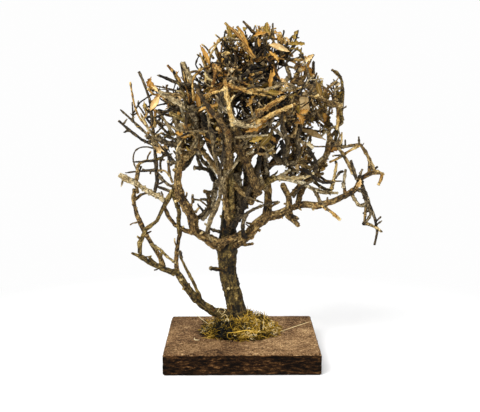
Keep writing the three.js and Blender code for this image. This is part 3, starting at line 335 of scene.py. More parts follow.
BARKS = {
    OLIVE: bark_material(
        "bark_olive_ridged",
        [(0.1, 0x090703), (0.34, 0x30260E), (0.56, 0x68552A), (0.77, 0xA28A4E), (0.97, 0xDAC48C)],
        0x8A5C24, 0.6),
    BROWN: bark_material(
        "bark_brown_rough",
        [(0.1, 0x0B0804), (0.34, 0x382A14), (0.56, 0x765C34), (0.77, 0xB4965C), (0.97, 0xE6D09C)],
        0xA56F2E, 0.6),
    DARK: bark_material(
        "bark_dark_weathered",
        [(0.1, 0x060503), (0.36, 0x1F1910), (0.59, 0x50422C), (0.79, 0x8C7B5A), (0.97, 0xC6B694)],
        0x765225, 0.62),
    GREY: bark_material(
        "bark_grey_peeled",
        [(0.1, 0x1A130B), (0.34, 0x5C4B31), (0.56, 0x948059), (0.78, 0xC6B184), (0.97, 0xE9DBB6)],
        0x8B6A3E, 0.63),
    STRAW: bark_material(
        "twig_straw_peeled",
        [(0.1, 0x2E1B08), (0.34, 0x845820), (0.57, 0xC79F55), (0.79, 0xE6C987), (0.97, 0xF8E8BE)],
        0x9E5B18, 0.62),
}
TONES = {OLIVE: 0.5, BROWN: 0.5, DARK: 0.5, GREY: 0.52, STRAW: 0.56}


def leaf_material(name, stops):
    """A dry leaf: mottled, darker towards its edge, with a pale vein and fine ribs. "across" runs from the
    middle vein to the edge, "along" up the leaf in metres."""
    n = Nodes(name)
    across = n.attribute("across")
    along = n.attribute("along")
    tone = n.attribute("tone")
    where = n.place()
    mottle = n.noise(where, 380.0, 5.0, 0.65)
    colour = n.ramp(n.math("ADD", tone, n.swing(mottle, 0.8)), stops)
    blotch = n.ramp(n.noise(where, 170.0, 3.0, 0.55), [(0.54, 0x000000), (0.62, 0xFFFFFF)])
    colour = n.mix(n.math("MULTIPLY", blotch, 0.45), colour, srgb(0x75531F))
    side = n.math("ABSOLUTE", across)
    vein = n.ramp(side, [(0.02, 0xFFFFFF), (0.1, 0x000000)])
    colour = n.mix(n.math("MULTIPLY", vein, 0.45), colour, srgb(0xE3C48C))
    rim = n.ramp(side, [(0.7, 0xFFFFFF), (1.0, 0x9A8458)])
    colour = n.mix(0.8, colour, rim, "MULTIPLY")
    ribs = n.math("SINE", n.weighed(along, 7000.0, side, -5.0))
    height = n.math("ADD", n.math("MULTIPLY", ribs, 0.15), mottle)
    return n.finish(colour, 0.62, n.bump(height, 0.00015, 0.7))


LEAF_SKINS = {
    TAN: leaf_material(
        "leaf_tan_dry", [(0.1, 0x7A5424), (0.4, 0xC0954F), (0.68, 0xE4C68E), (1.0, 0xF6E4BC)]),
    GREEN: leaf_material(
        "leaf_olive_dry", [(0.1, 0x2C220A), (0.45, 0x6E571C), (0.75, 0x9E8236), (1.0, 0xCDB05E)]),
    ORANGE: leaf_material(
        "leaf_orange_dry", [(0.1, 0x43290C), (0.42, 0x9B6C28), (0.72, 0xD0A14C), (1.0, 0xF0D490)]),
    DARK: leaf_material(
        "leaf_dark_dry", [(0.1, 0x0C0904), (0.45, 0x2A200F), (0.75, 0x5A4826), (1.0, 0x8E7746)]),
    STRAW: leaf_material(
        "leaf_straw_dry", [(0.1, 0x5E3D12), (0.45, 0xA6762C), (0.75, 0xD0A252), (1.0, 0xEED192)]),
}


def moss_material():
    n = Nodes("moss_dried")
    tone = n.attribute("tone")
    speck = n.noise(n.place(), 900.0, 4.0, 0.7)
    factor = n.math("ADD", tone, n.swing(speck, 0.4))
    colour = n.ramp(factor, [(0.0, 0x040402), (0.26, 0x121106), (0.42, 0x50410C), (0.6, 0xAA8420),
                             (0.8, 0xD4AE4A), (1.0, 0xEDDCAE)])
    return n.finish(colour, 0.85, n.bump(speck, 0.0001, 0.5))


def board_top_colour(n, where, grain, grit):
    cloud = n.noise(where, 45.0, 4.0, 0.6)
    fibres = n.noise(n.stretched(where, (0.35, 1.0, 1.0)), 700.0, 4.0, 0.7)
    shade = n.weighed(grain, 0.95, cloud, 0.45)
    shade = n.math("ADD", shade, n.swing(fibres, 0.4))
    colour = n.ramp(shade, [(0.52, 0x110B06), (0.615, 0x3F2A1A), (0.69, 0x6B4E33), (0.78, 0x96744E),
                            (0.87, 0xCFAF80)])
    light = n.ramp(grit, [(0.62, 0x000000), (0.7, 0xFFFFFF)])
    colour = n.mix(n.math("MULTIPLY", light, 0.35), colour, srgb(0xE0C390))
    pit = n.ramp(grit, [(0.34, 0x4A3A2C), (0.42, 0xFFFFFF)])
    return n.mix(0.8, colour, pit, "MULTIPLY")


def board_edge_colour(n, where, streaks):
    smudge = n.noise(where, 130.0, 4.0, 0.65)
    edge = n.weighed(streaks, 0.85, smudge, 0.3)
    return n.ramp(edge, [(0.46, 0x030201), (0.555, 0x120B06), (0.64, 0x33200F), (0.715, 0x6B4B2C),
                         (0.82, 0xAD8656)])


def board_material():
    """Stained fibre board: a gritty reddish brown top, and near-black sawn edges with streaks along them."""
    n = Nodes("board_stained")
    where = n.place()
    facing = n.add("ShaderNodeNewGeometry").outputs["Normal"]
    upward = n.add("ShaderNodeSeparateXYZ", None, Vector=facing)
    top = n.ramp(upward.outputs["Z"], [(0.35, 0x000000), (0.75, 0xFFFFFF)])
    grain = n.noise(where, 900.0, 5.0, 0.8)
    grit = n.noise(where, 1700.0, 2.0, 0.6)
    top_colour = board_top_colour(n, where, grain, grit)
    streaks = n.noise(n.stretched(where, (0.24, 0.24, 1.0)), 900.0, 6.0, 0.8)
    colour = n.mix(top, board_edge_colour(n, where, streaks), top_colour)
    height = n.mix(top, streaks, n.weighed(grain, 0.7, grit, 0.3))
    return n.finish(colour, 0.9, n.bump(height, 0.0004, 0.75), 0.06)


def metal_material():
    n = Nodes("screw_yellow_zinc")
    cloud = n.noise(n.place(), 700.0, 4.0, 0.6)
    colour = n.ramp(cloud, [(0.3, 0x9C8A4E), (0.6, 0xC7B672), (0.8, 0xD8CFA4)])
    n.shader.inputs["Metallic"].default_value = 1.0
    roughness = n.math("ADD", n.math("MULTIPLY", cloud, 0.25), 0.22)
    return n.finish(colour, roughness, n.bump(cloud, 0.00005, 0.4))


def glue_material():
    n = Nodes("glue_amber")
    cloud = n.noise(n.place(), 300.0, 3.0, 0.5)
    colour = n.ramp(cloud, [(0.3, 0xC2A868), (0.7, 0xE6D9AE)])
    n.shader.inputs["Coat Weight"].default_value = 0.3
    return n.finish(colour, 0.35, n.bump(cloud, 0.0003, 0.6))


# Refined copies of the solids

def distance_along(mesh):
    """At each vertex, its distance along the wood from the end nearest the trunk's foot."""
    root = min(mesh.verts, key=lambda v: (v.co - TRUNK_FOOT).length)
    along = {root.index: 0.0}
    queue = [(0.0, root.index)]
    while queue:
        reached, index = heapq.heappop(queue)
        if reached > along[index]:
            continue
        vertex = mesh.verts[index]
        for edge in vertex.link_edges:
            other = edge.other_vert(vertex)
            length = reached + (other.co - vertex.co).length
            if length < along.get(other.index, math.inf):
                along[other.index] = length
                heapq.heappush(queue, (length, other.index))
    return [along.get(vertex.index, 0.0) for vertex in mesh.verts]


def wood_thickness(mesh, tree):
    """At each vertex, the way through the wood to its other side."""
    thickness = []
    for vertex in mesh.verts:
        inwards = -vertex.normal
        through = tree.ray_cast(vertex.co + inwards * 2e-5, inwards)[3]
        thickness.append(through or MM)
    return thickness


def coarse_data(node):
    """A solid's mesh with, at each vertex, its distance along the wood and its thickness."""
    mesh = bmesh.new()
    mesh.from_mesh(frame["nodes"][node].data)
    bmesh.ops.remove_doubles(mesh, verts=mesh.verts, dist=1e-6)
    bmesh.ops.triangulate(mesh, faces=mesh.faces)
    mesh.verts.ensure_lookup_table()
    mesh.faces.ensure_lookup_table()
    along = distance_along(mesh)
    tree = BVHTree.FromBMesh(mesh)
    mesh.normal_update()
    values = np.column_stack([along, wood_thickness(mesh, tree)])
    corners = np.array([[v.index for v in face.verts] for face in mesh.faces])
    points = np.array([v.co for v in mesh.verts])
    mesh.free()
    return tree, points, corners, values


def carried_values(tree, points, corners, values, places):
    """The values at each place, from the nearest triangle."""
    found = [tree.find_nearest(Vector(spot)) for spot in places]
    face = np.array([hit[2] for hit in found])
    spot = np.array([hit[0] for hit in found])
    a, b, c = (points[corners[face][:, k]] for k in range(3))
    v0, v1, v2 = b - a, c - a, spot - a
    d00, d01, d11 = (v0 * v0).sum(1), (v0 * v1).sum(1), (v1 * v1).sum(1)
    d20, d21 = (v2 * v0).sum(1), (v2 * v1).sum(1)
    span = np.maximum(d00 * d11 - d01 * d01, 1e-20)
    v = np.clip((d11 * d20 - d01 * d21) / span, 0, 1)
    w = np.clip((d00 * d21 - d01 * d20) / span, 0, 1)
    u = np.clip(1 - v - w, 0, 1)
    mixed = sum(values[corners[face][:, k]] * share[:, None] for k, share in enumerate((u, v, w)))
    return mixed / (u + v + w)[:, None]


def smoothed(places, edges, rounds):
    """Places moved halfway to the middle of their neighbours, as often as there are rounds."""
    count = np.maximum(np.bincount(edges.ravel(), minlength=len(places)), 1)[:, None]
    for _ in range(rounds):
        total = np.empty_like(places)
        for axis in range(3):
            total[:, axis] = np.bincount(edges[:, 0], places[edges[:, 1], axis], len(places))
            total[:, axis] += np.bincount(edges[:, 1], places[edges[:, 0], axis], len(places))
        places = places + (total / count - places) * 0.5
    return places


def mesh_edges(mesh):
    flat = np.empty(len(mesh.edges) * 2, np.int64)
    mesh.edges.foreach_get("vertices", flat)
    return flat.reshape(-1, 2)


def set_places(mesh, places):
    mesh.vertices.foreach_set("co", places.ravel())
    mesh.update()


def even_copy(name, node, material):
    """A fine, even copy of a solid."""
    thing = frame["nodes"][node].copy()
    thing.data = frame["nodes"][node].data.copy()
    for key in [k for k in thing.keys() if k.startswith("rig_")]:
        del thing[key]
    thing.parent = None
    thing.name = name
    thing.data.name = name
    bpy.context.scene.collection.objects.link(thing)
    modifier = thing.modifiers.new("even", "REMESH")
    modifier.mode = "VOXEL"
    modifier.voxel_size = VOXELS.get(node, VOXEL)
    depsgraph = bpy.context.evaluated_depsgraph_get()
    mesh = bpy.data.meshes.new_from_object(thing.evaluated_get(depsgraph))
    thing.modifiers.clear()
    thing.data = mesh
    mesh.materials.clear()
    mesh.materials.append(material)
    mesh.polygons.foreach_set("use_smooth", [True] * len(mesh.polygons))
    return thing


def remeshed(name, node, material, rounds):
    """A fine copy of a solid, smoothed, with the places of its vertices and their normals."""
    thing = even_copy(name, node, material)
    places = smoothed(vertex_array(thing.data), mesh_edges(thing.data), rounds)
    set_places(thing.data, places)
    return thing, places, normal_array(thing.data)


def raised(thing, places, normals, rise, lowest):
    """Moves each vertex out along its normal, but not below the lowest height, and gives the new places."""
    places = places + normals * rise[:, None]
    places[:, 2] = np.maximum(places[:, 2], lowest)
    set_places(thing.data, places)
    return places


# How many ridges go round a limb and how short they are, as shares of a thin twig's: the bole's are many
# and long
GRAIN = {"trunk": (2.3, 0.3), "second_stem": (1.4, 0.6), "left_limb": (1.5, 0.55), "right_limb": (1.5, 0.55)}
TWIG_GRAIN = (1.0, 1.0)
RUN_PER_METRE = 170.0
# Limbs darker or paler than their kind
SHADES = {"trunk": -0.14, "left_spear": 0.1, "front_stem": -0.06, "curved_stem": 0.12}
# Limbs whose wood shrank as it dried: how much of their girth the bark lies below the solid
SHRUNK = {"left_limb": 0.08, "left_riser": 0.07, "curved_stem": 0.12, "left_cross_branch": 0.04,
          "front_limb_right": 0.13}


def relief(around, along, places, grain, seed):
    """Height of the bark between about -1 and 1: ridges along the wood, cracks in them and small lumps."""
    many, short = grain
    ridges = lattice_noise(np.column_stack([around * 2.4 * many, along * 150 * short]), seed)
    fine = lattice_noise(np.column_stack([around * 5.2 * many, along * 420 * short]), seed + 1)
    lumps = lattice_noise(places * 620, seed + 2)
    pits = lattice_noise(places * 1500, seed + 3)
    return 0.42 * ridges + 0.28 * fine + 0.5 * lumps + 0.25 * pits


def painted_inner_shade(places):
    """Painted shade: wood deep inside the crown, under its top, at the trunk's fork and on the leader above
    it is painted darker than the wood at the crown's rim.
    """
    shade = 0
    for centre, halves, reach, steep, most in PAINTED_SHADE_CORES:
        half = np.array([halves[0], halves[2], halves[1]]) * MM
        away = np.sqrt((((places - np.array(place(*centre))) / half) ** 2).sum(1))
        shade = np.maximum(shade, np.clip(steep * (reach - away), 0, most))
    return shade


def bark_rise(node, bark, along, thickness, around, seed):
    """How far the bark stands out of the smooth wood, with swellings where side twigs once grew."""
    girth = np.clip(thickness, 0.0012, 0.011)
    knots = np.maximum(lattice_noise(np.column_stack([along * 210, around[:, 2] * 0.6]), seed + 6), 0)
    swelling = 0 if node == "trunk" else np.minimum(girth, 0.005) * 0.17 * knots
    rise = bark * np.minimum(0.00012 + girth * 0.085, 0.0008) + swelling
    rise -= girth * SHRUNK.get(node, 0.0)
    return 0.0001 + rise


def refine_wood(node, slot, seed):
    thing, places, around = remeshed(node + "_bark", node, BARKS[slot], 7)
    mesh = thing.data
    along, thickness = carried_values(*coarse_data(node), places).T
    grain = GRAIN.get(node, TWIG_GRAIN)
    bark = relief(around, along, places, grain, seed)
    rise = bark_rise(node, bark, along, thickness, around, seed)
    places = raised(thing, places, around, rise, ABOVE_BOARD)
    broad = lattice_noise(places * 55, seed + 4) * 0.5 + lattice_noise(places * 160, seed + 5) * 0.35
    # The tone: the kind's own tone and random patches, paler on the bark's ridges and darker in its low spots
    # as painted shade, and painted shade deep in the crown
    tone = TONES[slot] + SHADES.get(node, 0.0) + 0.16 * broad + 0.3 * bark - painted_inner_shade(places)
    vector_attribute(mesh, "grain", around * grain[0])
    float_attribute(mesh, "run", along * RUN_PER_METRE * grain[1])
    float_attribute(mesh, "tone", tone)
    finish_piece(thing)
    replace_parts(thing, node)


# Twigs

# How many sides a twig has: its largest radius in metres is below the first number
TWIG_SIDES = ((0.0009, 6), (0.0014, 8), (math.inf, 12))


class Spray:
    """Many twigs in one mesh, each a tapered, knotty tube with a blunt, paler end."""

    def __init__(self, seed):
        self.seed = seed
        self.random = random.Random(seed)
        # A row is a vertex, the way out of the twig, the length along it, the girth and the tone
        self.rows, self.faces = [], []

    def tube(self, points, radii, tone):
        points = [Vector(p) for p in points]
        sides = next(count for limit, count in TWIG_SIDES if max(radii) < limit)
        first, end = len(self.rows), len(points) - 1
        start = self.random.uniform(0, 9)
        travelled = 0.0
        across = (points[1] - points[0]).normalized().orthogonal().normalized()
        for index, (heading, across, aside) in enumerate(frames_along(points, across)):
            shade = tone + 0.14 * (index / end - 0.5) + (0.18 if index == end else 0)
            if index:
                travelled += (points[index] - points[index - 1]).length
            for outward in all_round(across, aside, sides):
                spot = points[index] + outward * radii[index]
                self.rows.append((spot, outward, start + travelled, 2 * radii[index], shade))
        self.faces.extend(wall_faces(first, len(points), sides))
        self.cap(first, sides, True, points[0], points[0] - points[1], radii[0], start + travelled, tone)
        self.cap(first + end * sides, sides, False, points[-1], heading, radii[-1], start + travelled, tone)

    def cap(self, ring, sides, lower, point, outward, radius, along, tone):
        """Closes one end of a twig with a low cone."""
        pole = len(self.rows)
        outward = outward.normalized()
        spot = point + outward * radius * self.random.uniform(0.2, 0.7)
        self.rows.append((spot, outward, along, 0.0, tone + 0.3))
        for side in range(sides):
            here, after = ring + side, ring + (side + 1) % sides
            self.faces.append((after, here, pole) if lower else (here, after, pole))

    def build(self, name, slot):
        spots, around, along, girth, tone = zip(*self.rows)
        places = np.array([tuple(v) for v in spots])
        around = np.array([tuple(v) for v in around])
        along = np.array(along)
        bark = relief(around, along, places, TWIG_GRAIN, self.seed)
        rise = bark * np.array(girth) * 0.17
        thing = new_object(name, places + around * rise[:, None], self.faces, BARKS[slot])
        vector_attribute(thing.data, "grain", around)
        float_attribute(thing.data, "run", along * RUN_PER_METRE)
        # Painted shade: the tone is darker in the bark's low spots and paler on its ridges, and darker deep
        # in the crown
        float_attribute(thing.data, "tone", np.array(tone) + 0.22 * bark - painted_inner_shade(places))
        finish_piece(thing)


def curve_through(points, step):
    """Points about one step apart along a smooth line through the given ones."""
    points = [Vector(p) for p in points]
    if len(points) == 2:
        points.insert(1, (points[0] + points[1]) / 2)
    padded = [points[0] * 2 - points[1], *points, points[-1] * 2 - points[-2]]
    line = []
    for index in range(1, len(padded) - 2):
        a, b, c, d = padded[index - 1:index + 3]
        count = max(1, round((c - b).length / step))
        for part in range(count):
            t = part / count
            line.append(0.5 * ((2 * b) + (c - a) * t + (2 * a - 5 * b + 4 * c - d) * t * t
                               + (3 * b - a - 3 * c + d) * t ** 3))
    line.append(points[-1])
    return line


def knotty(line, width_root, width_tip, rng):
    """Radii along a twig: it tapers, and thickens at buds a few millimetres apart."""
    radii = []
    travelled, next_knot = 0.0, rng.uniform(0.002, 0.005)
    total = sum((b - a).length for a, b in zip(line, line[1:]))
    for index, point in enumerate(line):
        if index:
            travelled += (point - line[index - 1]).length
        share = travelled / max(total, 1e-6)
        radius = (width_root + (width_tip - width_root) * share) / 2
        if travelled >= next_knot:
            radius *= rng.uniform(1.2, 1.45)
            next_knot = travelled + rng.uniform(0.003, 0.007)
        radii.append(radius * rng.uniform(0.93, 1.07))
    return radii


# A drawn point is [right, height above the floor, depth] in millimetres, seen from the photograph's place
def place(right, height, depth=0.0):
    drawn = Vector((right, 0, height)) * MM
    share = 1 + depth * MM / -CAMERA_PLACE.y
    return CAMERA_PLACE + (drawn - CAMERA_PLACE) * share


def seen_at(point):
    """Where a point is seen from the photograph's place, in drawn millimetres."""
    share = -CAMERA_PLACE.y / (point[1] - CAMERA_PLACE.y)
    drawn = CAMERA_PLACE + (Vector(point) - CAMERA_PLACE) * share
    return drawn.x / MM, drawn.z / MM


# Drawn fine twigs: width at the root and tip in millimetres, the kind of wood, and the points of the route
DRAWN = [
    (1.4, 0.9, BROWN, (-20.5, 91, -3), (-24.7, 94.4, -4)),
    (1.9, 1.5, DARK, (-20.5, 77.8, -1), (-16.5, 76.2, 1), (-13, 75.5, 3), (-9.5, 75.5, 5)),
    (1.3, 1.1, GREY, (-3.1, 101.1, -2), (1.5, 97.4, -4), (7.5, 94.7, -5), (12.9, 92.7, -3)),
    (1.3, 1.1, STRAW, (-56, 138.6, -5), (-59, 142.1, -6), (-61.3, 146.3, -7), (-63, 151.6, -7),
     (-64.2, 158.1, -7), (-65.1, 164.6, -7)),
    (1, 0.8, DARK, (-52.5, 125.6, -8), (-56, 126.4, -6), (-60.1, 125.9, -4), (-63, 123.8, -3),
     (-64.2, 119.6, -3), (-63.6, 116.1, -4), (-61.9, 112, -5)),
    (1.4, 1, DARK, (-52.5, 118.5, -9), (-46.6, 120.5, -7), (-42.5, 122, -6)),
    (1.3, 0.9, DARK, (-59.5, 114.9, -8), (-60.7, 111.4, -7), (-61.3, 107.8, -6)),
    (1.2, 0.9, BROWN, (-55.4, 120.8, -9), (-53.6, 123.8, -10)),
    (1.4, 1, BROWN, (-51, 112.2, -9), (-45.4, 112, -11), (-42.5, 108.4, -12)),
    (1.2, 0.9, DARK, (-50, 108.6, -9), (-44.2, 104.2, -10)),
    (1.3, 0.9, BROWN, (-52, 132, -8), (-46.6, 135, -9)),
    (1.5, 1.3, BROWN, (-53, 149, -5), (-48.4, 146.3, -7), (-43.6, 139.2, -9), (-40.7, 133.3, -10)),
    (1.4, 1.4, BROWN, (-53.5, 148.5, -5), (-49.5, 147.5, -3), (-43, 145, -1), (-38.4, 143.9, 0),
     (-33.6, 142.1, -1), (-29.5, 136.8, -4)),
    (1.5, 1, DARK, (-27.5, 133, -5), (-34, 144, -9), (-41, 151, -11), (-46, 157, -12)),
    (1.4, 1, STRAW, (-27.8, 138, -5), (-34, 147, -2), (-43, 155, 0)),
    (1.2, 1, STRAW, (-35, 163.5, -3), (-39.5, 169.9, -5), (-43, 174.1, -6)),
    (1.7, 1.3, STRAW, (-30.5, 163, -3), (-32.5, 172.3, -1), (-34.8, 175.9, 0)),
    (1.6, 1.1, DARK, (-29.5, 160.8, -3), (-33.6, 163.4, -5), (-38.4, 164.3, -7), (-43.6, 166.4, -8),
     (-48.6, 168.5, -9)),
    (1.3, 1, STRAW, (-24.8, 151, -5), (-27.2, 156.9, -8), (-28.9, 162.8, -9), (-28.4, 167, -9),
     (-25.4, 170.5, -8), (-23, 173.5, -7)),
    (1.7, 1.2, DARK, (30.9, 96, -5), (34.2, 100.7, -7), (37.5, 103.4, -8), (43.5, 106.1, -9)),
    (2.2, 1.4, DARK, (16.4, 126, 4), (19.9, 119.5, 2), (24.6, 117.1, 1)),
    (1.7, 1.4, GREY, (59.3, 144.3, 5), (59.3, 139.6, 5), (53.4, 137.2, 6), (49.3, 134.3, 7),
     (47.5, 132.5, 8)),
    (1.5, 1, STRAW, (9.9, 147.3, -30), (16.9, 149.6, -34), (24, 154.4, -37)),
    (1.6, 1, STRAW, (-9.5, 162.7, -25), (-1.9, 160.3, -29), (4.6, 158.5, -32), (18, 155.6, -35)),
    (1.4, 1, BROWN, (11, 178, -1), (10, 191.6, -3), (6.9, 193.8, -3), (4.2, 196.9, -3), (1.5, 199.4, -3)),
    (1.4, 1.1, DARK, (14.8, 190, -3), (18.6, 190.6, -2), (18.5, 198, -2)),
    (1.5, 1, DARK, (-12.3, 176.3, -12), (-14.4, 181.1, -13), (-15.5, 186.3, -14)),
    (1, 0.8, DARK, (-25.9, 173.1, -5), (-26.6, 174.7, -5), (-25.6, 177.9, -6), (-23.5, 181.1, -7)),
    (1.5, 1, BROWN, (34, 172, 4), (38.8, 171.5, 3), (39.8, 176.3, 2), (42.5, 180, 1)),
    (1.5, 1, DARK, (30.3, 177.4, 4), (35, 177.1, 3), (39.8, 178.9, 2)),
    (2, 1.3, STRAW, (5.8, 161, -15), (6, 170, -17), (6.3, 178.4, -18)),
    (1.5, 1.1, OLIVE, (20.2, 180, 1), (27.1, 186.1, 0), (37.2, 186.9, -1)),
    (1.9, 1.3, STRAW, (8.5, 178.9, -6), (4.7, 183.2, -7), (1.5, 187.9, -8), (-1.6, 191.1, -9),
     (-5.9, 195.3, -10), (-9.2, 198.6, -10)),
    (1.4, 1, BROWN, (-4, 182, -16), (-10, 188, -17), (-15, 192, -17)),
    (1.4, 0.9, BROWN, (-16, 178, -12), (-20, 184, -13), (-23, 186.5, -14)),
]

